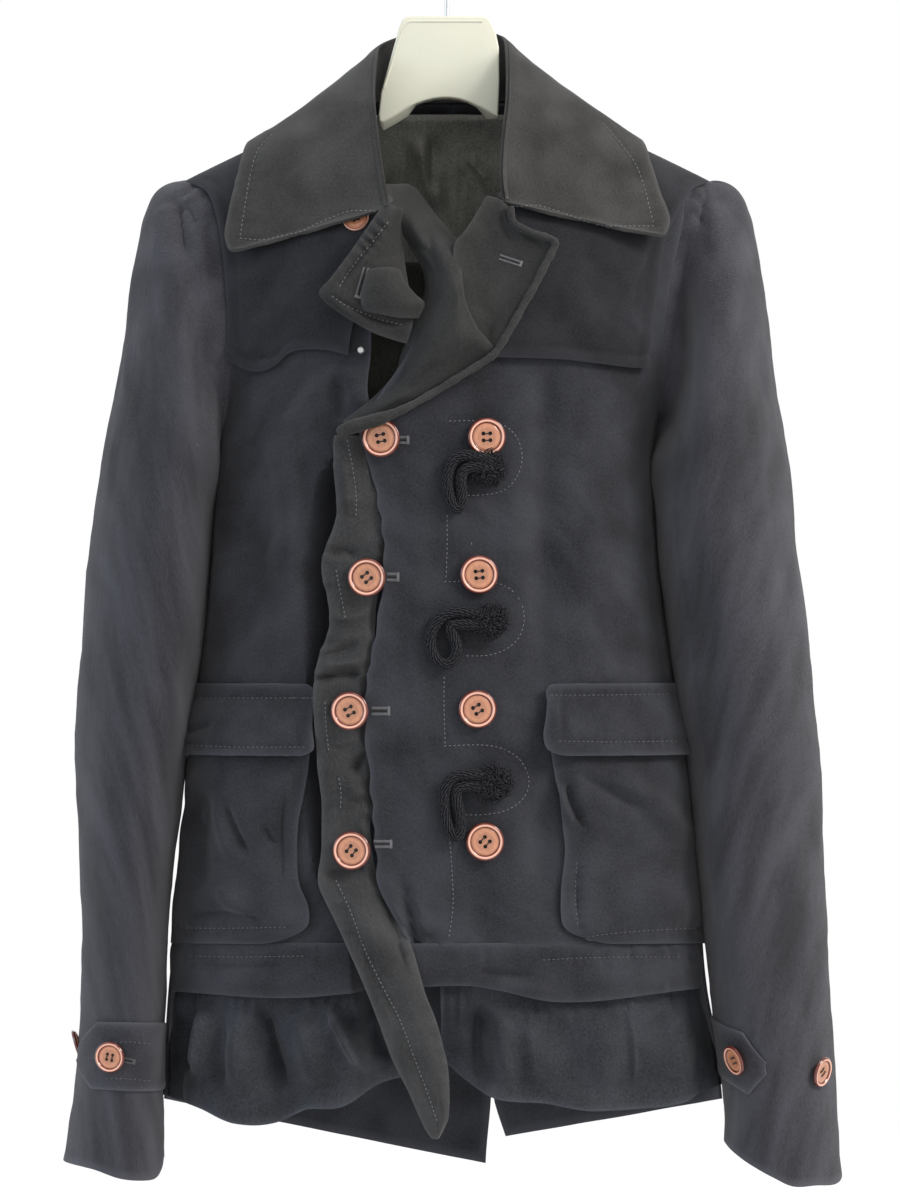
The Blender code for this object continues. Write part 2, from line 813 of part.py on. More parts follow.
def sleeve_point(side, along, angle, lift=0.0):
    """Along runs over the sleeve's rings from 0 to 1; angle 0 is the outer edge and pi/2 the front."""
    rings = [(index, *row) for index, row in enumerate(SLEEVES[side])]
    last = len(rings) - 1
    outer_x, outer_z, inner_x, inner_z, depth, middle_y, share = track(rings, along * last)
    x = (outer_x + inner_x) / 2 + cos(angle) * (outer_x - inner_x) / 2
    z = (outer_z + inner_z) / 2 + cos(angle) * (outer_z - inner_z) / 2
    y = middle_y - depth * sin(angle)
    x -= side * SLEEVE_HUG * sin(angle) ** 2 * share
    if share < 1:
        seam_z = blend(SHOULDER_TIP_Z, UNDERARM_Z, (1 - cos(angle)) / 2)
        seam_x, seam_y = armhole(seam_z, side, FRONT if sin(angle) > 0 else BACK)
        out = 1.6 + 9 * along * last * (1 + cos(angle)) / 2
        x = blend(seam_x + side * out, x, share)
        y = blend(seam_y, y, share)
        z = blend(seam_z + 0.3, z, share)
    here = place(x, y, z)
    if not lift:
        return here
    around = sleeve_point(side, along, angle + 0.03) - here
    down = sleeve_point(side, min(1.0, along + 0.01), angle) - here
    return here + around.cross(down).normalized() * lift * side


def sleeve_half(name, side, face, columns, rows, material):
    """The front or the back of a two-piece sleeve."""

    def point(u, v):
        angle = u * pi if face == FRONT else pi + u * pi
        air = SEAM * (1 + 2 * ease(0.3 - v, 0, 0.3))  # wider near the armhole, where the halves turn most
        return sleeve_point(side, v, angle) + Vector((0, face * air, 0))

    return cloth(name, columns, rows, point, (0, face, 0), WOOL, material)


# ---- collar -----------------------------------------------------------------------------------------------


def collar_point(u, v):
    """A place on the collar: u runs round the neck, v from the neck seam over the fold to the outer edge."""
    values = track(COLLAR_LINE, 2 * u - 1)
    neck, crest, edge = (Vector(values[i : i + 3]) for i in (0, 3, 6))
    across = (edge - neck).normalized()
    up = (crest - (neck + edge) / 2).normalized()
    near = crest - across * FOLD_HALF - up * FOLD_DROP
    far = crest + across * FOLD_HALF - up * FOLD_DROP
    if v < 0.25:
        spot = neck.lerp(near, v / 0.25)
    elif v < 0.35:
        spot = near.lerp(crest, (v - 0.25) / 0.1)
    elif v < 0.45:
        spot = crest.lerp(far, (v - 0.35) / 0.1)
    else:
        share = (v - 0.45) / 0.55
        spot = far.lerp(edge, share) + up * COLLAR_SPRING * sin(share * pi)
    return place(*spot)


# ---- hard parts -------------------------------------------------------------------------------------------


def turned(name, profile, steps, material):
    """A profile of (radius, height) points turned about z, listed from its top to its foot."""
    shape = bmesh.new()
    verts = [shape.verts.new((radius * MM, 0, height * MM)) for radius, height in profile]
    for a, b in zip(verts, verts[1:]):
        shape.edges.new((a, b))
    made = finish_mesh(name, shape, material)
    screw = made.modifiers.new("turn", "SCREW")
    screw.steps = screw.render_steps = steps
    screw.use_merge_vertices = True
    screw.merge_threshold = 0.00001
    return made


def tube(name, points, radius, roundness, material):
    """A round rod through the points, with closed ends."""
    curve = bpy.data.curves.new(name, "CURVE")
    curve.dimensions = "3D"
    curve.bevel_depth = radius * MM
    curve.bevel_resolution = roundness
    curve.use_fill_caps = True
    spline = curve.splines.new("POLY")
    spline.points.add(len(points) - 1)
    for slot, spot in zip(spline.points, points):
        slot.co = (*(spot * MM), 1.0)
    curve.materials.append(material)
    made = bpy.data.objects.new(name, curve)
    coat.objects.link(made)
    return made


def button(name, spot, normal, radius, material):
    """A dished button with a raised rim, its underside at the spot."""
    top = BUTTON_THICKNESS
    profile = (
        (0, top - 1.2),
        (radius * 0.62, top - 1.0),
        (radius * 0.8, top),
        (radius, top - 1.3),
        (radius * 0.72, 0),
        (0, 0),
    )
    made = turned(name, profile, 12, material)
    made.matrix_world = facing_matrix(spot, normal)
    return made


def facing_matrix(spot, normal):
    """Turns a shape's own z to the normal and its foot to the spot."""
    return Matrix.Translation(spot * MM) @ normal.to_track_quat("Z", "Y").to_matrix().to_4x4()


def body_normal(x, z, face=FRONT):
    return (on_body(x, z, face, 5) - on_body(x, z, face)).normalized()


def rope_loop(name, route, material):
    spots = []
    rows = [(index, *row) for index, row in enumerate(route)]
    steps = round(1.5 * (len(route) - 1))
    for step in range(steps + 1):
        x, z, lift = track(rows, step * (len(route) - 1) / steps)
        spots.append(on_body(x, z, FRONT, lift))
    return tube(name, spots, ROPE_RADIUS, 1, material)


def cuff_tab(name, side, angles, alongs, material):
    """A strap on the sleeve's front, pointed at its free end: angles run from its sewn end to its tip."""

    def point(u, v):
        angle = blend(angles[0], angles[1], u)
        narrow = ease(u, 0.78, 1.0) * 0.38
        along = blend(alongs[0], alongs[1], narrow + v * (1 - 2 * narrow))
        return sleeve_point(side, along, angle, LAY + WOOL)

    return cloth(name, 9, 2, point, (0, -1, 0), WOOL, material)


def hanger_plate(material):
    curve = bpy.data.curves.new("hanger_plate", "CURVE")
    curve.dimensions = "2D"
    curve.fill_mode = "BOTH"
    curve.extrude = (PLATE_HALF - 1) * MM
    curve.bevel_depth = 1 * MM
    curve.bevel_resolution = 0
    curve.offset = -1 * MM
    spline = curve.splines.new("POLY")
    spline.use_cyclic_u = True
    spline.points.add(len(PLATE) - 1)
    for slot, (x, z) in zip(spline.points, PLATE):
        spot = place(x, PLATE_Y, z)
        slot.co = (spot.x * MM, spot.z * MM, 0, 1)
    curve.materials.append(material)
    made = bpy.data.objects.new("hanger_plate", curve)
    made.location.y = PLATE_Y * MM
    made.rotation_euler.x = radians(90)
    coat.objects.link(made)
    return made


def hanger_arm(name, side, material):
    """A loft of egg-shaped sections from the plate out under the shoulder, with closed ends."""
    sections, sides = 9, 8
    shape = bmesh.new()
    rings = []
    for index in range(sections):
        reach = blend(ARM[0][0], ARM[-1][0], index / (sections - 1))
        top, foot, depth = track(ARM, reach)
        ring = []
        for step in range(sides):
            angle = 2 * pi * step / sides
            z = (top + foot) / 2 + cos(angle) * (top - foot) / 2
            ring.append(shape.verts.new(place(side * reach, -depth * sin(angle), z) * MM))
        rings.append(ring)
    for a, b in zip(rings, rings[1:]):
        for step in range(sides):
            shape.faces.new((a[step], a[(step + 1) % sides], b[(step + 1) % sides], b[step]))
    shape.faces.new(rings[0])
    shape.faces.new(rings[-1])
    bmesh.ops.recalc_face_normals(shape, faces=shape.faces)
    return finish_mesh(name, shape, material)


def hanger_hook(material):
    """The wire from the plate's top up and round, its inside top at the origin."""
    foot_z = place(0, PLATE_Y, PLATE[0][1]).z + GAP
    centre_z = -HOOK_RADIUS
    reach = HOOK_RADIUS + WIRE_RADIUS
    spots = [Vector((0, PLATE_Y, foot_z)), Vector((0, PLATE_Y, centre_z - reach - 4))]
    for step in range(13):
        angle = radians(blend(-80, 190, step / 12))
        y = blend(PLATE_Y, 0, min(1, step / 3))
        spots.append(Vector((reach * cos(angle), y, centre_z + reach * sin(angle))))
    return tube("hanger_hook", spots, WIRE_RADIUS, 1, material)


clear_scene()
coat = new_collection("duffle_coat")
finish = make_materials()

front_panel("front_left", RIGHT, OVER_FRONT_EDGE, over_lift, 9, 18, finish["wool"])
front_panel("front_right", LEFT, UNDER_FRONT_EDGE, under_lift, 11, 18, finish["wool"])
back_panel("back_left", RIGHT, 7, 18, finish["wool"])
back_panel("back_right", LEFT, 7, 18, finish["wool"])
yoke("yoke_front_left", RIGHT, LEFT_YOKE_FOOT, OVER_FRONT_EDGE, 9, finish["wool"])
yoke("yoke_front_right", LEFT, RIGHT_YOKE_FOOT, UNDER_FRONT_EDGE, 9, finish["wool"])
hem_band("hem_band_left", 168.5, -6, over_lift, 12, finish["wool"])
hem_band("hem_band_right", -182.5, -30, under_lift, 12, finish["wool"])
peplum("peplum_left", LEFT_PEPLUM, over_lift, 16, finish["peplum_cloth"])
peplum("peplum_right", RIGHT_PEPLUM, under_lift, 16, finish["peplum_cloth"])
pocket("pocket_left", RIGHT, LEFT_POCKET_EDGE, 6, finish["wool"])
pocket("pocket_right", LEFT, RIGHT_POCKET_EDGE, 6, finish["wool"])
flap("flap_left", RIGHT, LEFT_FLAP_EDGE, 6, finish["wool"])
flap("flap_right", LEFT, RIGHT_FLAP_EDGE, 6, finish["wool"])
edge_strip(finish["facing"])
lapel("lapel_left", LEFT_LAPEL, YOKE_LIFT + LAY + 0.8, 6, finish["facing"])
lapel("lapel_right", RIGHT_LAPEL, YOKE_LIFT + 3.9, 4, finish["facing"])
for side, label in ((RIGHT, "left"), (LEFT, "right")):
    sleeve_half(f"sleeve_{label}_front", side, FRONT, 11, 17, finish["wool"])
    sleeve_half(f"sleeve_{label}_back", side, BACK, 9, 17, finish["wool"])
cloth("collar", 24, 8, collar_point, (0, 0, 1), COLLAR, finish["collar_wool"])
for name, x, z, lift in FRONT_BUTTONS:
    button(name, on_body(x, z, FRONT, lift), body_normal(x, z), BUTTON_RADIUS, finish["button"])
name, x, z, lift = COLLAR_BUTTON
button(name, on_body(x, z, FRONT, lift), body_normal(x, z), COLLAR_BUTTON_RADIUS, finish["button"])
for index, route in enumerate(LOOPS):
    rope_loop(f"loop_{index + 1}", route, finish["rope"])
snap_x, snap_z, snap_lift = SNAP
snap_profile = ((0, 2), (SNAP_RADIUS * 0.7, 1.7), (SNAP_RADIUS, 0.8), (SNAP_RADIUS, 0), (0, 0))
snap = turned("snap", snap_profile, 10, finish["steel"])
snap_spot = on_body(snap_x, snap_z, FRONT, YOKE_LIFT + snap_lift)
snap.matrix_world = facing_matrix(snap_spot, body_normal(snap_x, snap_z))
for name, side, along, angle, lift in CUFF_BUTTONS:
    spot = sleeve_point(side, along, radians(angle), lift)
    out = spot - sleeve_point(side, along, radians(angle))
    button(name, spot, out.normalized(), CUFF_BUTTON_RADIUS, finish["button"])
lining_back(finish["lining"])
yoke_back(finish["wool"])
throat_tab(finish["facing"])
cuff_tab("cuff_tab_right", LEFT, (radians(168), radians(12)), (0.902, 0.962), finish["wool"])
cuff_tab("cuff_tab_left", RIGHT, (radians(176), radians(84)), (0.902, 0.962), finish["wool"])
hanger_plate(finish["hanger_plastic"])
hanger_arm("hanger_arm_left", RIGHT, finish["hanger_plastic"])
hanger_arm("hanger_arm_right", LEFT, finish["hanger_plastic"])
hanger_hook(finish["steel"])
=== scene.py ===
from functools import partial
from math import cos, pi, radians, sin

import bmesh
import bpy
import numpy as np
from bpy.props import FloatProperty, FloatVectorProperty, PointerProperty
from mathutils import Matrix, Vector
from mathutils.bvhtree import BVHTree


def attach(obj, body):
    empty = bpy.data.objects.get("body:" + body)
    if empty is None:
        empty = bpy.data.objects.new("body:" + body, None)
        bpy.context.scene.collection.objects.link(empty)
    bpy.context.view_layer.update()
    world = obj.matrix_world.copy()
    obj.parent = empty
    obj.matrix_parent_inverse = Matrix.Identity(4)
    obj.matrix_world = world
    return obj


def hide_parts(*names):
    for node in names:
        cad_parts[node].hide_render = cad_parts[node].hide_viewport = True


bl_info = {
    "name": "Coat on a Hanger",
    "version": (1, 0, 0),
    "blender": (4, 5, 0),
    "location": "View3D > Sidebar > Coat",
    "description": "Dresses the cut pieces of a short double-breasted coat in cloth, sewing and buttons",
    "category": "Object",
}

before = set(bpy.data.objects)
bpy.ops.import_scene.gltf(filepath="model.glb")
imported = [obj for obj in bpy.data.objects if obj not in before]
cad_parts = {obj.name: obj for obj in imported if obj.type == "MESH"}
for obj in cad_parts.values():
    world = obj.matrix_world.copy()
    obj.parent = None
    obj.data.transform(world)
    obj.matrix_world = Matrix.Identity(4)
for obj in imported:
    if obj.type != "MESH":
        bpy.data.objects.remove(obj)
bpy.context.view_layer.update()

# ---- sizes, in millimetres ----
# The tables give x and z as they are seen from in front, drawn on the plane y = FRONT_PLANE. place() moves a
# point from there to its true spot at depth y, along the line of sight from VIEW_DISTANCE away.

MM = 0.001
FRONT_PLANE = -75.0
VIEW_DISTANCE = 2000.0
VIEW_X = 2.0
VIEW_Z = -467.0
VIEW_HEIGHT = 804.0  # how much of the front plane the picture shows, top to bottom
EYE = Vector((VIEW_X, FRONT_PLANE - VIEW_DISTANCE, VIEW_Z)) * MM
SENSOR = 36  # the camera's sensor width
FLOOR_RADIUS = 1.4  # in metres, as its height is
FLOOR_Z = -1.03

WOOL = 2.2
HEM = 3.4
COLLAR = 2.8
THIN = 1.5
LINING = 1.2
LAY = 1.4
YOKE_LIFT = 3.4
YOKE = 2.0
ROUNDING = 0.55  # radius of a cloth's edge
WEAR_AND_HIGHLIGHT_REACH = 2.2  # how far in from a cloth's edge it is painted lighter, as wear and painted highlight
NORMAL_STEP = 1.5  # between the places that give the body's normal
GROOVE = 0.9  # depth of a sewn line
RIPPLE = 0.38  # height of the puckers beside it
WAVES = (97, 61, 38, 24, 15)  # lengths of the slow waves in a cloth that hangs
FIBRES = 240  # in each frayed root of a rope loop
FIBRE_RADII = (0.42, 0.5, 0.45, 0.36, 0.15)  # from a fibre's root to its tip
STRANDS = 3  # in a rope loop
TWIST = 11.0  # how far a strand runs in one turn
STRAND_SHARE = 0.52  # of the rope's radius
YARN_PITCH = 0.0021  # of the yarns in a strand, in metres
STITCH_RADIUS = 0.29
STITCH_RISE = 0.12
WHIP_GAP = 0.75  # between the threads round a buttonhole
BUTTON_THREAD = 0.36
HOLE_SHARE = 0.104  # radius of a button's hole, as a share of the button's
LOOP_LIFT = 9.2  # of a rope loop's middle over the body

SHOULDER_TOP = -134.0
SHOULDER_SLOPE = 0.5
SHOULDER_ROUND = 40.0
NECK_REACH = 68.0
SHOULDER_DEPTH = 125.0
SECTION_POWER = 0.8
FRONT, BACK = -1, 1
LEFT, RIGHT = -1, 1  # as seen from in front
NAMES = {LEFT: "right", RIGHT: "left"}  # the wearer's side
FORWARDS, BACKWARDS = (0, -1, 0), (0, 1, 0)

TORSO = (
    (-100, 176, 0, 82, 74), (-188, 176, 0, 84, 76), (-215, 170, -1, 85, 76), (-240, 166, -3, 86, 77),
    (-270, 162, -5, 87, 78), (-305, 160, -7, 88, 79), (-335, 152, -8, 88, 80), (-355, 147.5, -8, 88, 80),
    (-376, 145.5, -8, 88, 80), (-420, 147, -8, 88, 80), (-467, 150, -8, 88, 80), (-534, 160, -8, 88, 80),
    (-601, 168, -8, 88, 80), (-668, 175, -8, 88, 80), (-729, 178, -7, 88, 81), (-798, 186, -3, 90, 82),
    (-860, 190, -3, 90, 82),
)
SHOULDER_TIP = 173.0
SHOULDER_TIP_Z = -188.5
NECK_POINT_Z = -134.5
UNDERARM_Z = -376.0
ARMHOLE = (
    (SHOULDER_TIP_Z, SHOULDER_TIP), (-200, 160), (-215, 153), (-240, 146), (-270, 141), (-305, 139),
    (-335, 140), (-355, 143), (-376, 145.5),
)
LEFT_SLEEVE = (
    (-178, -190, -155, -376, 52, 0, 0), (-187, -194, -155, -377, 54, 0, 0.18),
    (-196, -204, -155, -378, 59, 0, 0.42), (-202, -222, -155, -380, 65, 0, 0.68),
    (-208, -250, -155, -383, 69, 0, 0.9), (-215, -288, -156, -388, 70, -1, 1),
    (-222, -328, -157, -398, 70, -2, 1), (-231, -376, -158, -414, 69, -3, 1),
    (-240, -440, -161, -455, 67, -4, 1), (-246, -500, -167, -506, 65, -5, 1),
    (-248, -562, -176, -566, 62, -6, 1), (-248, -626, -183, -630, 60, -8, 1),
    (-246, -690, -189, -692, 57, -10, 1), (-245, -742, -191, -743, 55, -11, 1),
    (-250, -792, -192, -792, 53, -12, 1), (-256, -842, -192, -840, 51, -13, 1),
)
RIGHT_SLEEVE = (
    (178, -190, 139, -376, 52, 0, 0), (186, -195, 139, -377, 54, 0, 0.18),
    (195, -206, 139, -378, 59, 0, 0.42), (201, -222, 139, -380, 65, 0, 0.68),
    (208, -250, 139.5, -383, 69, 0, 0.9), (214, -288, 140, -388, 70, -1, 1),
    (220, -328, 141, -398, 70, -2, 1), (228, -376, 142, -414, 69, -3, 1),
    (235, -440, 145, -455, 67, -4, 1), (242, -500, 151, -506, 65, -5, 1),
    (248, -562, 160, -566, 62, -6, 1), (252, -626, 167, -630, 60, -8, 1),
    (254, -690, 174, -692, 57, -10, 1), (257, -742, 180, -743, 55, -11, 1),
    (260, -792, 186, -788, 53, -12, 1), (264, -842, 188, -828, 51, -13, 1),
)
SLEEVES = {LEFT: LEFT_SLEEVE, RIGHT: RIGHT_SLEEVE}
SLEEVE_LENGTH = 680.0
SLEEVE_GIRTH = 60.0  # round a sleeve, for each radian
SLEEVE_SEAMS = (1.12, 1.93)  # in half turns from the outer edge
SLEEVE_HUG = 5.0  # how far the front and back of a sleeve bend round the body
COLLAR_LINE = (
    (-1, -36, -76, -199, -40, -90, -204, -146, -64, -234),
    (-0.88, -44, -66, -188, -43, -82, -187, -149, -56, -221),
    (-0.72, -49, -50, -168, -47, -68, -160, -144, -46, -197),
    (-0.55, -51, -30, -149, -50, -50, -130, -138, -27, -173),
    (-0.42, -50, -4, -137, -49, -20, -106, -131, -2, -159.5),
    (-0.28, -43, 18, -133, -45, 12, -95, -112, 38, -165),
    (-0.14, -24, 28, -133, -25, 36, -88, -66, 56, -168), (0, 0, 30, -133, 0, 44, -84, 0, 68, -166),
    (0.14, 24, 28, -133, 22, 36, -86, 66, 56, -168), (0.28, 43, 18, -133, 38, 12, -90, 112, 38, -166),
    (0.42, 50, -4, -137, 41, -20, -102, 129, -2, -158.5),
    (0.55, 51, -30, -149, 41, -50, -130, 137, -27, -174),
    (0.72, 49, -50, -168, 38, -68, -160, 143, -46, -195),
    (0.88, 43, -66, -188, 37, -82, -184, 149, -56, -213),
    (1, 34, -76, -195, 39, -90, -200, 146, -64, -224),
)
STAND_END, FALL_START = 0.25, 0.45  # where the collar's fold starts and ends across it
FOLD_HALF = 4.5  # half the width of the collar's rolled fold
FOLD_DROP = 5.0
COLLAR_SPRING = 5.0  # how far the fall arches off the shoulder
OVER_FRONT_EDGE = (
    (0, 57, NECK_POINT_Z), (0.06, 56, -152), (0.12, 52, -174), (0.17, 44, -196), (0.21, 30, -216),
    (0.25, 14, -234), (0.3, -6, -264), (0.36, -27, -306), (0.4, -44, -330), (0.43, -58, -352),
    (0.5, -48, -390), (0.6, -42, -450), (0.68, -54, -530), (0.8, -50, -600), (0.9, -42, -660),
    (1, -14, -698),
)
UNDER_FRONT_EDGE = (
    (0, -57, NECK_POINT_Z), (0.06, -56, -152), (0.12, -52, -174), (0.17, -47, -196), (0.21, -44, -216),
    (0.25, -46, -240), (0.3, -56, -270), (0.36, -62, -300), (0.42, -62, -335), (0.47, -34, -372),
    (0.6, -24, -450), (0.8, -20, -580), (1, -24, -698),
)
BODY_HEM_Z = -699.0
BAND_FOOT_Z = -732.0
BACK_FOOT_Z = -801.0  # at the side seams
VENT_FOOT_Z = {LEFT: -844.0, RIGHT: -826.0}
VENT_SPREAD = {LEFT: 4.0, RIGHT: 14.0}  # how far each half's foot swings from the seam
BACK_HALF = 180.0  # width of half the back, from side seam to middle seam
BACK_SEAM_X = (3.0, 30.0)  # the middle seam drifts to one side on its way down
LAP_RISE = 5.5  # how far the lapped front stands over the one below it
FOLD_IN = 11.0  # how far the lower front folds in under it
UNDER_FOLD = ((-345, -60), (-400, -90), (-600, -88), (-660, -82), (-700, -66), (-860, -66))
RIGHT_PEPLUM = (
    (-181, -798, -2), (-172, -802, 4), (-150, -808, 10), (-130, -817, 6), (-109, -818, -3),
    (-88, -808, 8), (-66, -806, 10), (-46, -795, 3), (-28, -790, -4),
)
LEFT_PEPLUM = (
    (-4, -776, -18), (12, -790, -9), (30, -801, 4), (62, -805, 0), (90, -809, 8), (128, -807, 1),
    (155, -799, 7), (172, -791, -2),
)
PEPLUM_TOP_Z = -722.0
YOKE_INSET = 3.0  # the yoke's free edge stays this far back from the front's edge
NECK_DROP = 5.0  # how far the back's inner and outer layers start below the neck's edge
RIGHT_YOKE_FOOT = (
    (56, -306), (64, -304), (80, -300), (98, -300), (106, -303), (115, -311), (125, -314), (136, -311),
    (150, -301),
)
LEFT_YOKE_FOOT = ((10, -305), (40, -305), (76, -306), (103, -309), (128, -311), (145, -306))
BACK_YOKE_FOOT_Z = -292.0
RIGHT_POCKET_EDGE = (
    (-560, -91), (-576, -92), (-594, -94.5), (-614, -98.5), (-635, -100), (-655, -98.5), (-672, -92),
    (-684, -92), (-692, -98), (-697, -106),
)
LEFT_POCKET_EDGE = (
    (-560, 68), (-581, 71), (-611, 75.5), (-634, 78.5), (-660, 76), (-680, 76), (-690, 80), (-697, 92),
)
POCKET_SIZE, FLAP_SIZE, TAB_SIZE, COLLAR_SIZE = (95, 137), (95, 48), (60, 42), (640, 150)
FLAP_TOP_Z = -523.0
FLAP_FOOT_Z = -571.0
RIGHT_FLAP_EDGE = ((-523, -88), (-550, -88), (-566, -86.5), (-571, -89))
LEFT_FLAP_EDGE = ((-523, 64.5), (-534, 65.5), (-547, 64), (-558, 62.5), (-566, 64.5), (-571, 69))
# The edge strip's lift off the body at its left and right edges, by z.
STRIP_LIFT = (
    (-357, 8, 2.2), (-380, 9, 2.6), (-407, 9, 3), (-444, 10, 3), (-467, 9, 3), (-484, 9, 3), (-507, 10, 3),
    (-527, 10, 3), (-574, 10, 3), (-601, 9, 3), (-634, 9, 3), (-655, 9, 3), (-671, 10, 4), (-701, 12, 11),
    (-738, 14, 13), (-775, 14, 13), (-795, 13, 13), (-812, 12, 12), (-826, 11, 11),
)
LINING_REACH = 62.0
LINING_FOOT_Z = -340.0
COLLAR_BUTTON = ("button_collar", -62, -224, 3.9)
BUTTON_RADIUS = 12.8
COLLAR_BUTTON_RADIUS = 9.0
BUTTON_THICKNESS = 3.6
# A button's section from the middle of its back to the middle of its face, as shares of radius and thickness.
BUTTON_PROFILE = (
    (0, 0), (0.6, 0), (0.8, 0.5 / BUTTON_THICKNESS), (0.97, 0.42), (1, 0.6), (0.98, 0.82), (0.93, 0.97),
    (0.87, 1), (0.8, 0.95), (0.755, 0.8), (0.73, 0.66), (0.7, 0.62), (0.665, 0.72), (0.6, 0.74),
    (0.4, 0.68), (0, 0.64),
)
PLATE_Y = -5.0
PLATE_HALF = 4.5
HOOK_RADIUS = 18.0
WIRE_RADIUS = 1.9
WIRE_SHARE = 0.92  # the hook's wire is this much thinner than its CAD node
HOOK_FOOT = ((0, -77), (0, -70), (0, -60), (0, -50), (0, -43), (0.6, -39.6))  # x and z below the hook's bend

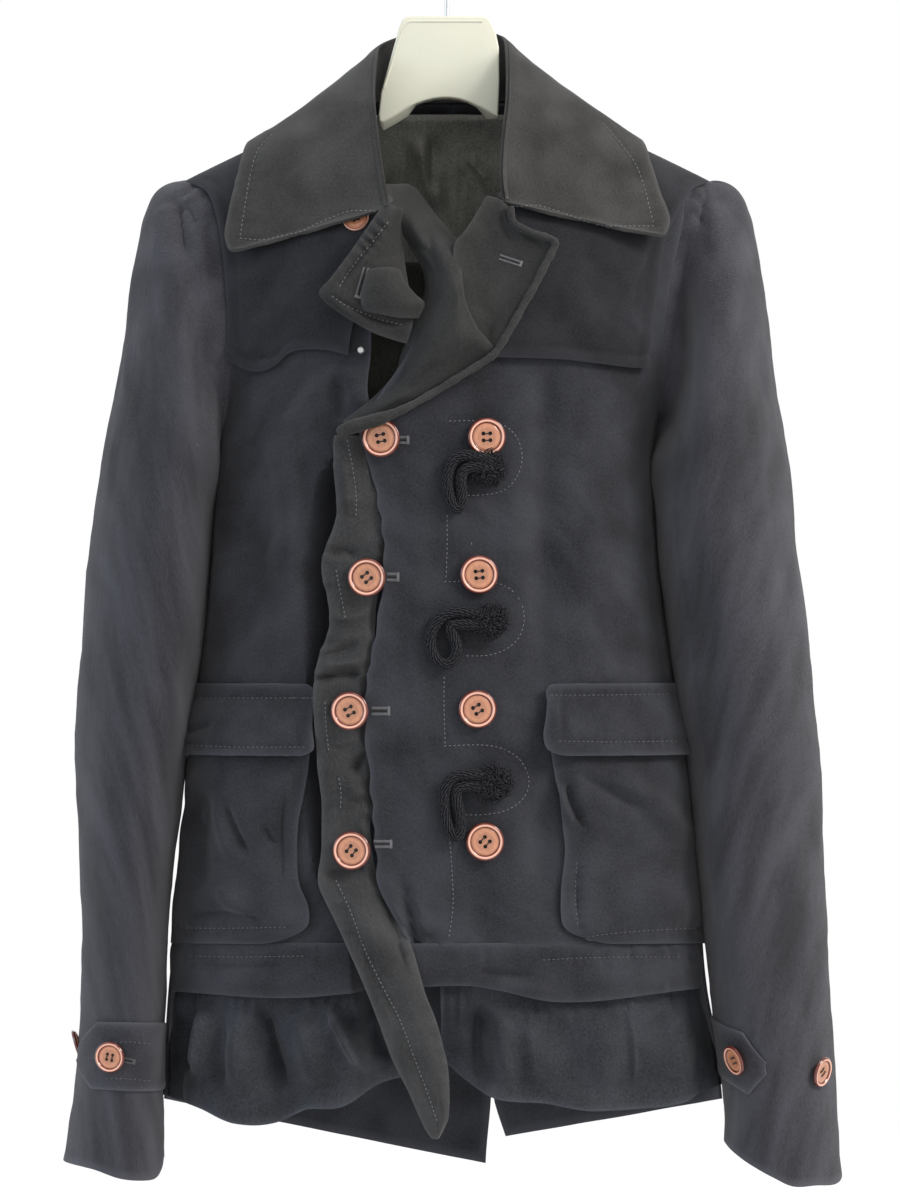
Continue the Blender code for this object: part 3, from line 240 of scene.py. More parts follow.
# Soft folds and creases of each cloth, as seen from in front: three points x and z along it, half width,
# height (a trough is negative), and how sharp it is from 1, a crease, to 2, a soft roll.
FOLDS = {
    "front": (
        ((63, -272.7), (65.7, -413.4), (57, -547.4), 10, -3, 2),
        ((38.9, -319.6), (43.6, -413.4), (40.9, -520.6), 12, 1.2, 2),
        ((89.1, -326.3), (95.8, -413.4), (91.8, -507.2), 16, 1.6, 2),
        ((-18.1, -366.5), (-19.4, -467), (-23.5, -601), 9, 0.9, 2),
        ((-31.5, -379.9), (-30.2, -413.4), (-34.2, -440.2), 3, -0.7, 1.5),
        ((-32.8, -467), (-30.2, -500.5), (-34.2, -527.3), 3, -0.7, 1.5),
        ((-36.9, -557.5), (-34.2, -587.6), (-38.2, -621.1), 3.5, -0.8, 1.5),
        ((-107.9, -316.2), (-105.2, -413.4), (-101.2, -517.9), 13, 3.4, 2),
        ((-132, -346.4), (-128, -426.8), (-130.7, -513.9), 15, -2.6, 2),
        ((-146.7, -333), (-150.8, -413.4), (-156.1, -507.2), 12, 2, 2),
        ((-93.1, -353.1), (-91.8, -440.2), (-89.1, -513.9), 4, -1.4, 2),
    ),
    "front_left": (
        ((-36.9, -642.5), (-26.1, -671.4), (-15.4, -725), 3.4, -2.6, 1.3),
        ((-44.9, -646.6), (-30.2, -681.4), (-18.1, -728.3), 3, 1.8, 1.6),
        ((-23.5, -654.6), (-15.4, -688.1), (-7.4, -725), 3.6, 1.8, 1.6),
        ((-14.1, -684.8), (-10.1, -704.9), (-6.7, -725), 2.6, -2, 1.3),
        ((-6, -691.5), (-2.7, -708.2), (-0.7, -725), 2.4, 1.4, 1.6),
        ((67.7, -587.6), (62.3, -627.8), (65.7, -668), 9, -2, 2),
        ((35.5, -647.9), (46.2, -671.4), (48.9, -698.2), 12, 1.6, 2),
        ((15.4, -654.6), (19.4, -678.1), (22.1, -698.2), 7, -1, 2),
    ),
    "front_right": (
        ((-65, -307.5), (-61, -326.3), (-57, -343.7), 8, 3, 2),
        ((-74.4, -312.9), (-73, -333), (-71.7, -351.8), 7, -2.2, 2),
    ),
    "pocket_right": (
        ((-145.4, -597), (-138.7, -619.8), (-127.3, -639.9), 3.2, -2, 1.3),
        ((-150.8, -594.3), (-145.4, -621.1), (-134.7, -645.2), 5.5, 1.6, 2),
        ((-118.6, -615.7), (-116.6, -625.1), (-111.2, -631.8), 2.6, -1.3, 1.3),
        ((-103.2, -580.9), (-109.2, -617.8), (-107.9, -671.4), 2.2, -1.3, 1.4),
        ((-158.8, -580.9), (-161.5, -621.1), (-162.8, -674.7), 10, -2.6, 2),
        ((-148.7, -654.6), (-138.7, -671.4), (-124, -676), 6, 1.3, 2),
        ((-172.2, -679.4), (-144.1, -676), (-114.6, -682.7), 2.6, -1.2, 1.4),
    ),
    "flap_right": (
        ((-168.8, -559.5), (-160.1, -553.4), (-149.4, -550.8), 3, -1.2, 1.5),
        ((-155.4, -548.7), (-132, -544.7), (-105.2, -548.7), 7, 0.9, 2),
        ((-98.5, -544.7), (-97.2, -557.5), (-94.5, -568.8), 2.6, -0.7, 1.6),
    ),
    "pocket_left": (
        ((81.7, -582.2), (105.2, -594.3), (132.7, -611.7), 4.2, -1.5, 1.5),
        ((102.5, -584.2), (129.3, -601), (162.8, -635.8), 9, 1.7, 2),
        ((79.7, -586.3), (81.7, -602.3), (91.1, -617.1), 2.4, -1.5, 1.3),
        ((73.7, -586.3), (75.7, -601), (83.8, -621.1), 3, 1.3, 1.6),
        ((85.1, -609), (87.8, -615.7), (93.1, -619.8), 2, -1, 1.3),
        ((129.3, -647.9), (136, -668), (162.8, -678.1), 12, 1.2, 2),
        ((86.4, -641.2), (85.8, -664.7), (87.8, -685.4), 1.8, -0.7, 1.4),
    ),
    "flap_left": (
        ((75, -526), (75, -544), (75, -564.2), 1.8, -0.6, 1.4),
        ((68.3, -527.3), (69.7, -544), (69, -562.1), 3, 0.7, 2),
    ),
    "yoke_front_right": (
        ((-138.7, -240.5), (-130.7, -266), (-126.6, -296.1), 10, 1.6, 2),
        ((-119.9, -245.9), (-117.2, -272.7), (-118.6, -299.5), 8, -1.2, 2),
        ((-98.5, -245.9), (-90.5, -266), (-86.4, -291.5), 12, 1.4, 2),
        ((-141.4, -259.3), (-139.4, -289.5), (-130.7, -302.2), 2, -0.8, 1.3),
        ((-130.7, -302.2), (-117.2, -304.9), (-106.5, -295.5), 2, -0.8, 1.3),
    ),
    "yoke_front_left": (
        ((137.3, -233.8), (126.6, -256), (124.6, -286.1), 2.6, -1.1, 1.4),
        ((124.6, -266), (125.3, -289.5), (128, -303.5), 5, 1.3, 2),
        ((114.6, -240.5), (111.9, -266), (110.6, -296.1), 12, -1.4, 2),
        ((85.8, -235.9), (87.8, -266), (85.1, -296.1), 14, 1.4, 2),
    ),
    "sleeve_right": (
        ((-181.6, -196.3), (-178.2, -215.8), (-174.2, -240.5), 4, -3.4, 1.6),
        ((-176.2, -199), (-170.9, -208.4), (-166.2, -219.1), 1.6, -1.5, 1.2),
        ((-188.3, -196.3), (-189.6, -216.4), (-192.3, -240.5), 5, 1.8, 2),
        ((-170.9, -209.1), (-165.5, -232.5), (-161.5, -266), 6, 1.8, 2),
        ((-203.7, -229.2), (-210.4, -279.4), (-214.4, -339.7), 2.2, 1.7, 1.4),
        ((-214.4, -333), (-221.8, -369.9), (-227.1, -413.4), 3, 1.3, 1.8),
        ((-209, -232.5), (-217.8, -286.1), (-224.5, -353.1), 5, -1.6, 2),
        ((-199, -286.1), (-192.3, -346.4), (-188.9, -413.4), 18, -2.2, 2),
        ((-161.5, -306.2), (-160.1, -353.1), (-161.5, -413.4), 7, 2, 2),
        ((-227.1, -440.2), (-213.7, -480.4), (-199, -527.3), 16, -1.8, 2),
        ((-182.2, -467), (-186.9, -527.3), (-192.3, -587.6), 13, 1.8, 2),
        ((-235.2, -534), (-229.8, -601), (-233.8, -668), 10, 1.2, 2),
        ((-199, -614.4), (-207, -668), (-212.4, -735), 14, -1.6, 2),
        ((-239.2, -741.7), (-225.8, -745.7), (-199, -743), 4, -0.8, 2),
    ),
    "sleeve_left": (
        ((160.1, -208.4), (154.8, -286.1), (158.8, -413.4), 10, -5, 2),
        ((144.1, -286.1), (139.4, -346.4), (144.1, -426.8), 7, 2.4, 2),
        ((169.5, -198.3), (170.9, -207), (168.2, -220.4), 2.4, -1.8, 1.3),
        ((177.6, -199), (180.2, -216.4), (178.9, -240.5), 6, 2, 2),
        ((173.5, -232.5), (180.2, -299.5), (184.2, -379.9), 16, 2.2, 2),
        ((209.7, -286.1), (216.4, -359.8), (223.1, -440.2), 14, -1.4, 2),
        ((162.8, -426.8), (173.5, -507.2), (184.2, -601), 14, -3.2, 2),
        ((203, -440.2), (211.1, -520.6), (216.4, -601), 20, 1.8, 2),
        ((177.6, -601), (188.3, -668), (195, -735), 9, 1.6, 2),
        ((216.4, -627.8), (220.4, -688.1), (227.1, -755.1), 14, -1.6, 2),
    ),
    "peplum_right": (
        ((-83.1, -735), (-67.7, -761.8), (-50.9, -789.9), 3, 4.2, 1.5),
        ((-75, -735), (-57, -761.8), (-40.9, -787.3), 6, -3, 2),
        ((-126.6, -735), (-119.9, -767.2), (-108.5, -799.3), 4.5, -4.4, 1.6),
        ((-138.7, -735), (-136.7, -765.2), (-132, -805.4), 9, 3, 2),
        ((-162.8, -735), (-164.8, -761.8), (-163.5, -788.6), 6, 3.4, 2),
        ((-172.2, -737.7), (-174.9, -761.8), (-176.9, -787.3), 5, -2.4, 2),
        ((-150.8, -743), (-150.8, -775.2), (-149.4, -802), 6, -2.4, 2),
        ((-105.2, -741.7), (-94.5, -768.5), (-86.4, -795.3), 8, 2.4, 2),
    ),
    "peplum_left": (
        ((35.5, -737.7), (36.2, -765.2), (43.6, -795.3), 6, 3.4, 2),
        ((23.5, -735), (22.1, -761.8), (26.1, -795.3), 6, -3.4, 2),
        ((122.6, -739), (124.6, -765.2), (126, -795.3), 3, 1.6, 1.6),
        ((75.7, -741.7), (82.4, -775.2), (86.4, -804.7), 14, -2.4, 2),
        ((102.5, -741.7), (105.2, -768.5), (103.9, -802), 10, 2, 2),
        ((146.1, -741.7), (148.1, -768.5), (150.8, -795.3), 9, -2, 2),
        ((55.6, -743), (58.3, -775.2), (62.3, -799.3), 8, 2.2, 2),
    ),
    "hem_band_left": (
        ((15.4, -713.6), (35.5, -717.6), (62.3, -718.9), 3, -1.2, 1.5),
        ((15.4, -725), (42.2, -727), (75.7, -729.6), 5, 1.2, 2),
        ((75.7, -718.2), (115.9, -721.6), (162.8, -718.2), 7, 0.9, 2),
    ),
    "hem_band_right": (
        ((-178.9, -709.5), (-138.7, -712.2), (-98.5, -710.9), 3, -1, 1.6),
        ((-172.2, -720.3), (-132, -724.3), (-91.8, -721.6), 6, 1.2, 2),
    ),
    "edge_strip": (
        ((-69, -367.8), (-65, -386.6), (-63.7, -413.4), 4, 1.6, 2),
        ((-78.4, -440.2), (-69, -434.8), (-58.3, -440.2), 3.4, -1.6, 1.5),
        ((-76.4, -475), (-63.7, -479.1), (-50.2, -471), 3.6, 1.6, 1.8),
        ((-81.1, -503.9), (-68.3, -500.5), (-57, -493.8), 3, -1.4, 1.6),
        ((-86.4, -523.3), (-79.7, -518.6), (-54.3, -516.6), 1.8, -2.4, 1.2),
        ((-85.1, -512.6), (-68.3, -509.9), (-52.9, -508.5), 3.2, 1.5, 2),
        ((-63.7, -584.2), (-58.3, -575.5), (-50.2, -567.5), 2.6, -1.8, 1.4),
        ((-55.6, -601), (-61, -594.3), (-63.7, -584.9), 4, 1.4, 2),
        ((-74.4, -564.8), (-70.4, -562.1), (-57, -559.5), 3, 1, 2),
        ((-83.8, -645.2), (-70.4, -649.2), (-50.2, -642.5), 3, -1.6, 1.5),
        ((-65, -647.9), (-51.6, -681.4), (-34.2, -714.9), 9, 1.2, 2),
        ((-42.2, -654.6), (-34.2, -688.1), (-23.5, -725), 3, -1.6, 1.5),
        ((-31.5, -708.2), (-18.1, -748.4), (-4.7, -795.3), 6, 1.3, 2),
    ),
    "lapel_left": (
        ((38.9, -291.5), (59, -258), (67.7, -237.9), 2, -1.5, 1.3),
        ((-14.7, -327.6), (15.4, -310.2), (35.5, -296.1), 2, -1.3, 1.3),
        ((48.9, -221.1), (59.6, -225.8), (66.3, -229.8), 1.8, -1.2, 1.3),
        ((24.8, -240.5), (28.8, -266), (22.1, -290.1), 11, 1, 2),
        ((-7.4, -314.2), (3.4, -299.5), (24.8, -299.5), 4, -1.6, 1.6),
        ((-44.9, -333), (-31.5, -327.6), (-18.1, -314.2), 4, 1.4, 2),
        ((-39.5, -336.4), (-28.1, -334.3), (-11.4, -323.6), 2.4, -1.2, 1.4),
        ((35.5, -205.7), (40.2, -219.1), (48.9, -229.2), 3, -1.3, 1.5),
    ),
    "lapel_right": (
        ((-42.2, -215.8), (-59.6, -240.5), (-75.7, -259.3), 2, -1.8, 1.2),
        ((-48.2, -232.5), (-57, -240.5), (-65, -258), 2.4, 1.2, 1.6),
        ((-74.4, -263.3), (-54.3, -275.4), (-27.5, -284.1), 1.6, -1.1, 1.3),
        ((-30.2, -204.4), (-26.1, -232.5), (-18.1, -263.3), 4, -1.8, 1.8),
        ((-19.4, -209.1), (-14.1, -235.9), (-8.7, -260.6), 5, 1.6, 2),
        ((-10.1, -213.7), (-6, -236.5), (-2, -259.3), 3.4, -1.4, 1.8),
    ),
    "neck_facing": (
        ((-30.2, -229.2), (-11.4, -235.9), (-4.7, -259.3), 3, -2, 1.4),
        ((5.4, -245.9), (8.7, -266), (2, -292.8), 6, 1.8, 2),
        ((-18.1, -312.9), (2, -299.5), (12.1, -279.4), 5, 1.8, 2),
        ((-31.5, -329.7), (-14.7, -316.2), (-4.7, -299.5), 3, -1.6, 1.5),
        ((-34.8, -202.3), (-31.5, -225.8), (-26.1, -240.5), 3, -1.5, 1.5),
        ((-24.8, -202.3), (-19.4, -225.8), (-14.7, -249.2), 4, 1.6, 2),
        ((-15.4, -209.1), (-10.1, -232.5), (-6, -259.3), 3, -1.8, 1.5),
    ),
    "lining_back": (
        ((-31.5, -152.1), (-32.8, -178.9), (-28.8, -212.4), 5, 4, 2),
        ((-19.4, -148.8), (-14.7, -175.6), (-0.7, -209.1), 6, -4, 2),
        ((-7.4, -150.8), (-11.4, -172.2), (-8.7, -199), 4, 3, 2),
        ((15.4, -165.5), (22.1, -177.6), (32.8, -182.9), 3.4, -2.4, 1.6),
        ((12.7, -172.2), (20.8, -188.3), (28.8, -196.3), 4, 2.4, 2),
        ((5.4, -152.1), (5.4, -185.6), (6, -225.8), 1.4, -1, 1.2),
    ),
    "collar": (
        ((-98.5, -138.7), (-91.8, -165.5), (-78.4, -209.1), 30, 1.6, 2),
        ((-68.3, -145.4), (-63.7, -172.2), (-65, -202.3), 14, -1.4, 2),
        ((-47.6, -145.4), (-50.2, -172.2), (-42.2, -199), 6, 1.4, 2),
        ((69, -138.7), (75.7, -165.5), (82.4, -205.7), 24, 1.5, 2),
        ((115.9, -165.5), (106.5, -185.6), (102.5, -209.1), 16, -1.3, 2),
        ((42.2, -138.7), (44.9, -165.5), (48.9, -196.3), 8, -1, 2),
    ),
    "back": (
        ((-70, -330), (-74, -480), (-62, -640), 20, 3, 2),
        ((-20, -360), (-26, -500), (-14, -700), 16, -2.4, 2),
        ((60, -340), (66, -480), (58, -620), 18, 2.8, 2),
        ((100, -380), (112, -520), (104, -700), 14, -2.6, 2),
        ((-120, -400), (-128, -540), (-116, -690), 13, -2.2, 2),
        ((-150, -380), (-120, -410), (-80, -420), 10, 1.6, 2),
        ((140, -385), (112, -408), (80, -424), 10, 1.6, 2),
    ),
}

# How much stronger than the rest the folds of a group of cloths are, and the cloths whose sewing hardly shows.
FOLD_STRENGTH = {
    "pocket": 2.2, "flap": 1.8, "edge": 2.0, "peplum": 2.3, "hem": 1.8, "front": 1.3, "lining": 1.8,
}
QUIET = ("pocket", "flap", "hem", "cuff")

# Lines of sewing on a cloth, each through its own points, as seen from in front.
SEWING = {
    "collar": (
        ((-117.2, -154.8), (-126.6, -165.5), (-131.3, -180.2), (-135.3, -202.3), (-138.7, -223.8)),
        (
            (-138.7, -224.5), (-124, -225.8), (-110.6, -223.1), (-98.5, -220.4), (-89.1, -215.8),
            (-78.4, -211.1), (-65, -206.4), (-50.2, -206.4), (-40.9, -207),
        ),
        (
            (104.5, -147.4), (115.9, -160.8), (126.6, -175.6), (132.7, -192.3), (136, -205.7),
            (138.7, -215.8),
        ),
        (
            (138.7, -216.4), (119.9, -216.4), (102.5, -215.8), (89.1, -211.7), (75.7, -207), (62.3, -203),
            (48.9, -203), (41.5, -203.7),
        ),
    ),
    "front_left": (
        (
            (1.3, -347.1), (22.1, -347.1), (37.5, -349.8), (46.9, -358.5), (50.2, -371.9), (46.2, -385.3),
            (36.9, -394), (22.1, -396.7), (5.4, -396.7),
        ),
        (
            (-2, -454.9), (23.5, -454.3), (40.2, -458.3), (48.9, -467.7), (51.6, -479.1), (48.2, -491.8),
            (39.5, -499.8), (27.5, -503.9), (10.1, -504.5),
        ),
        (
            (-2, -564.8), (23.5, -564.2), (37.5, -566.8), (48.9, -574.2), (54.9, -587.6), (51.6, -599),
            (41.5, -607), (28.1, -610.4), (10.1, -611.1),
        ),
        ((0, -410.1), (0, -432.2), (-0.7, -454.3)),
        ((-2, -515.2), (-2, -540.7), (-1.3, -564.2)),
        ((2, -629.1), (3.4, -651.2), (4, -671.4), (1.3, -692.8)),
    ),
    "edge_strip": (
        ((-67, -359.8), (-63, -379.9), (-61, -396.7), (-61, -413.4)),
        ((-74.4, -446.9), (-71, -463.7), (-67.7, -481.7)),
        ((-81.7, -535.3), (-81.1, -550.8), (-79.1, -568.8)),
        ((-72.4, -586.3), (-71, -597.6), (-71.7, -609)),
        (
            (-74.4, -654.6), (-65, -674.7), (-54.9, -701.5), (-43.6, -725), (-31.5, -748.4),
            (-21.4, -775.2), (-11.4, -802), (-6.7, -816.7),
        ),
    ),
    "flap_left": (
        ((66.3, -530.7), (102.5, -530.7), (150.8, -530)),
        ((75, -561.5), (109.2, -562.1), (156.1, -561.5)),
    ),
    "pocket_left": (
        ((87.8, -694.1), (102.5, -691.5), (129.3, -688.8), (167.5, -686.8)),
        ((87.1, -642.5), (85.8, -664.7), (87.8, -686.8)),
    ),
    "hem_band_left": (
        ((64.3, -708.2), (89.1, -706.9), (117.2, -706.2), (162.8, -706.2)),
    ),
    "hem_band_right": (
        ((-172.2, -705.5), (-142.7, -706.2), (-95.8, -705.5)),
    ),
    "flap_right": (
        ((-168.2, -532.7), (-132, -532.7), (-89.1, -532.7)),
        ((-174.2, -564.2), (-138.7, -565.5), (-94.5, -565.5)),
    ),
    "pocket_right": (
        ((-174.9, -686.8), (-138.7, -686.8), (-105.2, -686.1)),
    ),
    "lapel_right": (
        ((-77.1, -263.3), (-68.3, -269.4), (-58.3, -274), (-43.6, -279.4), (-28.8, -282.8)),
        ((-39.5, -213.7), (-48.9, -225.8), (-58.3, -237.2), (-66.3, -247.9), (-73, -258.6)),
    ),
    "cuff_tab_right": (
        ((-228.5, -763.8), (-213.7, -763.1), (-197.7, -764.5)),
        ((-228.5, -787.3), (-213.7, -787.9), (-199, -789.3)),
    ),
}

# Seams of each cloth that ripple: points along the seam, how far the ripples reach, their height and spacing.
PUCKERS = {
    "front_left": (
        (((1.3, -698.2), (75.7, -704.9), (162.8, -698.2)), 7, 0.7, 17),
        (((-14.7, -688.1), (-4.7, -708.2), (1.3, -725)), 9, 0.8, 8),
    ),
    "front_right": (
        (((-182.2, -698.2), (-132, -701.5), (-91.8, -698.8)), 7, 0.7, 16),
    ),
    "hem_band_left": (
        (((7.4, -704.9), (75.7, -709.5), (169.5, -701.5)), 9, 0.8, 13),
        (((7.4, -725), (66.3, -733.7), (119.3, -733.7), (169.5, -725.6)), 7, 0.6, 21),
    ),
    "hem_band_right": (
        (((-185.6, -702.8), (-132, -706.9), (-75.7, -702.8)), 9, 0.8, 12),
        (((-185.6, -728.3), (-132, -733), (-75, -731)), 7, 0.6, 19),
    ),
    "peplum_left": (
        (((7.4, -735), (75.7, -737.7), (169.5, -731.7)), 16, 1.1, 22),
    ),
    "peplum_right": (
        (((-185.6, -733.7), (-132, -735.7), (-75, -733.7)), 16, 1.1, 18),
    ),
    "lapel_right": (
        (((-42.2, -213.7), (-61, -231.2), (-81.1, -256.6)), 7, 0.9, 7),
    ),
    "lapel_left": (
        (((67.7, -237.9), (52.3, -267.3), (33.5, -299.5), (-1.3, -322.3), (-28.1, -336.4)), 4, 0.35, 9),
    ),
    "sleeve_right": (
        (((-180.9, -195), (-166.8, -219.8), (-162.1, -232.5)), 12, 1.1, 7),
    ),
    "sleeve_left": (
        (((160.8, -209.1), (170.9, -199), (178.2, -197.7)), 11, 0.9, 7),
    ),
    "yoke_front_right": (
        (((-177.6, -188.3), (-157.5, -177.6), (-134, -165.5)), 9, 0.5, 10),
    ),
    "yoke_front_left": (
        (((130, -169.5), (149.4, -180.2), (168.2, -190.3)), 9, 0.5, 10),
    ),
    "flap_right": (
        (((-174.2, -572.2), (-132, -572.9), (-86.4, -574.2)), 5, 0.35, 16),
    ),
    "collar": (
        (((-137.3, -172.2), (-142.7, -199), (-146.7, -225.8)), 5, 0.3, 14),
    ),
    "edge_strip": (
        (((-77.1, -359.8), (-79.7, -440.2), (-81.1, -527.3)), 8, 1.1, 19),
        (((-78.4, -534), (-78.4, -634.5), (-63.7, -694.8), (-24.8, -788.6)), 7, 0.5, 24),
    ),
}

# How far the trunk's sides are eased out to the sleeves: z, left, right.
SIDE_EASE = (
    (-134, 0, 0), (-360, 0, 0), (-400, 1.5, 1.6), (-430, 2.6, 1.6), (-480, 2.6, 2.6), (-520, 1.5, 2.6),
    (-560, 0, 2.2), (-620, -1.4, 1.6), (-660, -1.6, 2.2), (-700, 0, 2.8), (-730, 1.8, 3.6),
    (-760, 2, 4.2), (-790, 0.6, 1.5), (-860, 0, 0),
)
# How far a sleeve's outer edge is drawn in, as the cloth hangs: z, viewer's left, right.
SLEEVE_EASE = (
    (-200, 0, 0), (-330, 1.3, 0.6), (-410, 1.3, 1.5), (-495, 2.7, 1.6), (-575, 1.3, 1.3),
    (-628, 3.2, 1.9), (-680, 3.8, 1.4), (-722, 1.4, 1.4), (-775, 2.8, 1.6), (-830, 1.3, 1.4),
    (-880, 1.3, 1.4),
)
# The lower edge of the hem bands: x, z.
BAND_FOOT = (
    (-185.6, -729), (-160.1, -731), (-132, -733), (-103.9, -733.7), (-75, -731.7), (-31.5, -727),
    (7.4, -725), (30.8, -727.6), (66.3, -735.7), (91.8, -736.3), (119.3, -733.7), (148.7, -729.6),
    (170.9, -727),
)

# The turned-out strip's own wavy edges, from the neck's end down: z, x.
STRIP_LEFT = (
    (-357, -73), (-366, -74), (-381, -73.5), (-407, -71.5), (-419, -74), (-444, -82), (-467, -78),
    (-484, -76.5), (-507, -84), (-527, -86.5), (-574, -85), (-601, -82), (-620, -82), (-634, -82),
    (-655, -84), (-671, -78), (-701, -64), (-738, -48), (-775, -35), (-795, -25), (-808, -19.5),
    (-814, -17), (-822, -13), (-827, -9),
)
STRIP_RIGHT = (
    (-357, -46), (-373, -42), (-388, -40.5), (-400, -39), (-427, -39), (-467, -47), (-494, -48.5),
    (-507, -51), (-534, -54), (-554, -54), (-574, -50), (-601, -48), (-614, -51), (-634, -50),
    (-653, -46), (-671, -35), (-691, -26), (-705, -21), (-728, -14.5), (-748, -7), (-765, -2.5),
    (-782, 1), (-812, 1), (-822, -3), (-827, -6),
)

# How far the line where the lower front folds in is moved: z, x.
FOLD_SHIFT = ((-200, 9), (-320, 8), (-375, 0), (-500, -1), (-540, -6), (-640, -6), (-680, 0), (-860, 0))
# How far the lapped front's edge is moved, and how far the left yoke stands back from its sleeve: z, x.
EDGE_SHIFT = ((-200, 0), (-640, 0), (-660, -3), (-682, -5), (-698, -9), (-860, -9))
YOKE_BACK = ((-134, 0), (-198, 2), (-232, 10.5), (-266, 10.5), (-314, 12.5))
ARMHOLE_EASE = ((-134, 0), (-180, 0), (-200, 4), (-235, 11), (-305, 13), (-345, 9), (-376, 2), (-400, 0))
UNDER_EDGE_SHIFT = ((-200, 0), (-262, 0), (-285, 9), (-330, 11), (-365, 3), (-400, 0), (-860, 0))
# How far the viewer's right sleeve is drawn clear of the yoke along its armhole: z, x.
SLEEVE_CLEAR = ((-178, 0), (-250, 2), (-290, 7), (-335, 7), (-375, 1), (-395, 0), (-900, 0))

# Buttons: name, x, z, height over the body, turn of the holes in degrees.
FRONT_BUTTONS = (
    ("button_1_right", -43, -359, 8, 12), ("button_2_right", -52, -452, 9, 38),
    ("button_3_right", -63, -541, 10, 28), ("button_4_right", -62, -634, 10, 52),
    ("button_1_left", 26, -358, 3.6, 2), ("button_2_left", 21, -450, 3.8, 6),
    ("button_3_left", 20, -540, 3.8, 30), ("button_4_left", 25, -628.5, 3.7, 48),
)
# Cuff buttons: name, sleeve, place along it, angle round it in degrees, height over the cloth, turn, and how its
# outward direction leans.
CUFF_BUTTONS = (
    ("cuff_button_right_1", LEFT, 0.907, 71, 4.8, 80, (0, -1.2, -0.05)),
    ("cuff_button_right_2", LEFT, 0.896, -3, 1.6, 30, (0, 0, -0.4)),
    ("cuff_button_left_1", RIGHT, 0.911, 123, 4.8, 20, (-0.3, 0, -0.25)),
    ("cuff_button_left_2", RIGHT, 0.921, 42, 4.4, 40, (0.1, 0, -0.25)),
)

# How far a cuff's mouth hangs below its ring: angle round the sleeve in degrees, fall.
CUFF_MOUTH = {
    LEFT: ((0, 0), (59, 6.7), (90, 13.4), (117, 15.4), (141, 14), (160, 7.4), (180, 0), (270, -4), (360, 0)),
    RIGHT: (
        (0, 9.4), (24, 16.7), (52, 20), (74, 22.8), (93, 19), (113, 13.7), (146, 6), (180, 0), (270, -4),
        (360, 9.4),
    ),
}
PEPLUM_FLARE = {LEFT: 4.5, RIGHT: 3.5}  # how far the peplum stands out past the trunk at its foot
# The cuff tabs: places along the sleeve, angles at the root and the tip, and how far the tip hangs below
# the root.
TABS = {
    LEFT: ((0.876, 0.936), (168, 12), 0.0),
    RIGHT: ((0.868, 0.925), (176, 94), 0.023),
}

# Worked buttonholes of each cloth: the inner end, the outer end and the height.
BUTTONHOLES = {
    "front_left": (
        ((-32.2, -359.8), (-26.1, -359.8), 5.6),
        ((-40.2, -451.6), (-32.8, -451.6), 6),
        ((-50.2, -541.4), (-38.9, -541.4), 6),
        ((-49.6, -630.5), (-37.5, -630.5), 5.6),
        ((-4, -719.6), (5.4, -716.2), 1.2),
    ),
    "lapel_left": (
        ((35.5, -237.2), (49.6, -241.9), 4),
    ),
    "lapel_right": (
        ((-54.3, -244.6), (-59.6, -264), 4.6),
    ),
    "cuff_tab_right": (
        ((-219.8, -774.5), (-209.7, -776.5), 3.6),
    ),
    "flap_right": (
        ((-104.5, -532.7), (-89.8, -532.7), 1.2),
    ),
}
# The frayed root of each rope loop: x, z, lift and reach.
LOOP_ROOTS = ((26.5, -379, 4.5, 9), (27.5, -481, 5.5, 9.5), (30.5, -589, 5.5, 9.5))
# The loops as they hang, each through its own points.
LOOP_ROUTES = (
    (
        (30.2, -375.2), (20.8, -371.9), (11.4, -370.5), (4, -373.9), (0.7, -381.2), (0, -390.6),
        (2, -400), (6, -406), (9.4, -402.7), (9.4, -394.6), (8.7, -386.6), (11.4, -379.9), (19.4, -377.9),
        (28.8, -379.9),
    ),
    (
        (28.8, -479.1), (18.1, -475.7), (8.7, -475), (0, -476.4), (-6.7, -481.7), (-10.7, -489.8),
        (-10.7, -499.2), (-6.7, -507.2), (-0.7, -509.9), (4.7, -505.9), (6, -497.8), (3.4, -489.8),
        (2, -484.4), (10.1, -483.1), (19.4, -483.8), (28.8, -485.8),
    ),
    (
        (31.5, -587.6), (22.1, -584.2), (12.7, -583.6), (4.7, -584.9), (-0.7, -591.6), (-2, -601),
        (-1.3, -611.7), (2, -621.1), (6, -625.1), (8.7, -619.8), (8, -609), (6, -599.7), (6.7, -593),
        (12.7, -591), (22.1, -591.6), (31.5, -593),
    ),
)
# The outline of the hanger's plate as it is seen, and the raised line on its face.
PLATE_FRONT = (
    (-26.8, -75.7), (24.1, -75.7), (27.5, -77.1), (30.2, -80.4), (32.8, -87.1), (34.8, -96.5),
    (35.2, -118.6), (34.2, -143.4), (26.8, -138.7), (19.4, -135.4), (13.4, -132.7), (7.4, -131),
    (2, -130.3), (-3.4, -130.3), (-8.7, -130.9), (-14.7, -132.3), (-20.8, -134.3), (-26.1, -136.7),
    (-34.8, -142.1), (-42.9, -146.7), (-45.2, -146.1), (-45.9, -142.1), (-44.2, -126.6), (-37.5, -102.5),
    (-32.2, -83.8), (-30.2, -78.4),
)
ARCH_POINTS = (8, 19)  # the first and last of the plate's points along its arch, whose back is lower
ARCH_TOP_Z = -125.0
ARCH_DROP = 5.5
PLATE_LINE_RADIUS = 0.85
PLATE_LINE = (
    (-42.2, -124), (-37.5, -109.2), (-32.2, -92.5), (-28.8, -83.8), (-25.5, -79.7), (-18.1, -79.4),
    (2, -79.4), (23.5, -79.4),
)

# How bright the surround is, from straight below (0) over level (0.5) to straight above (1).
SURROUND = ((0, 0.3), (0.28, 0.4), (0.38, 1), (0.62, 1), (0.72, 0.7), (1, 0.8))
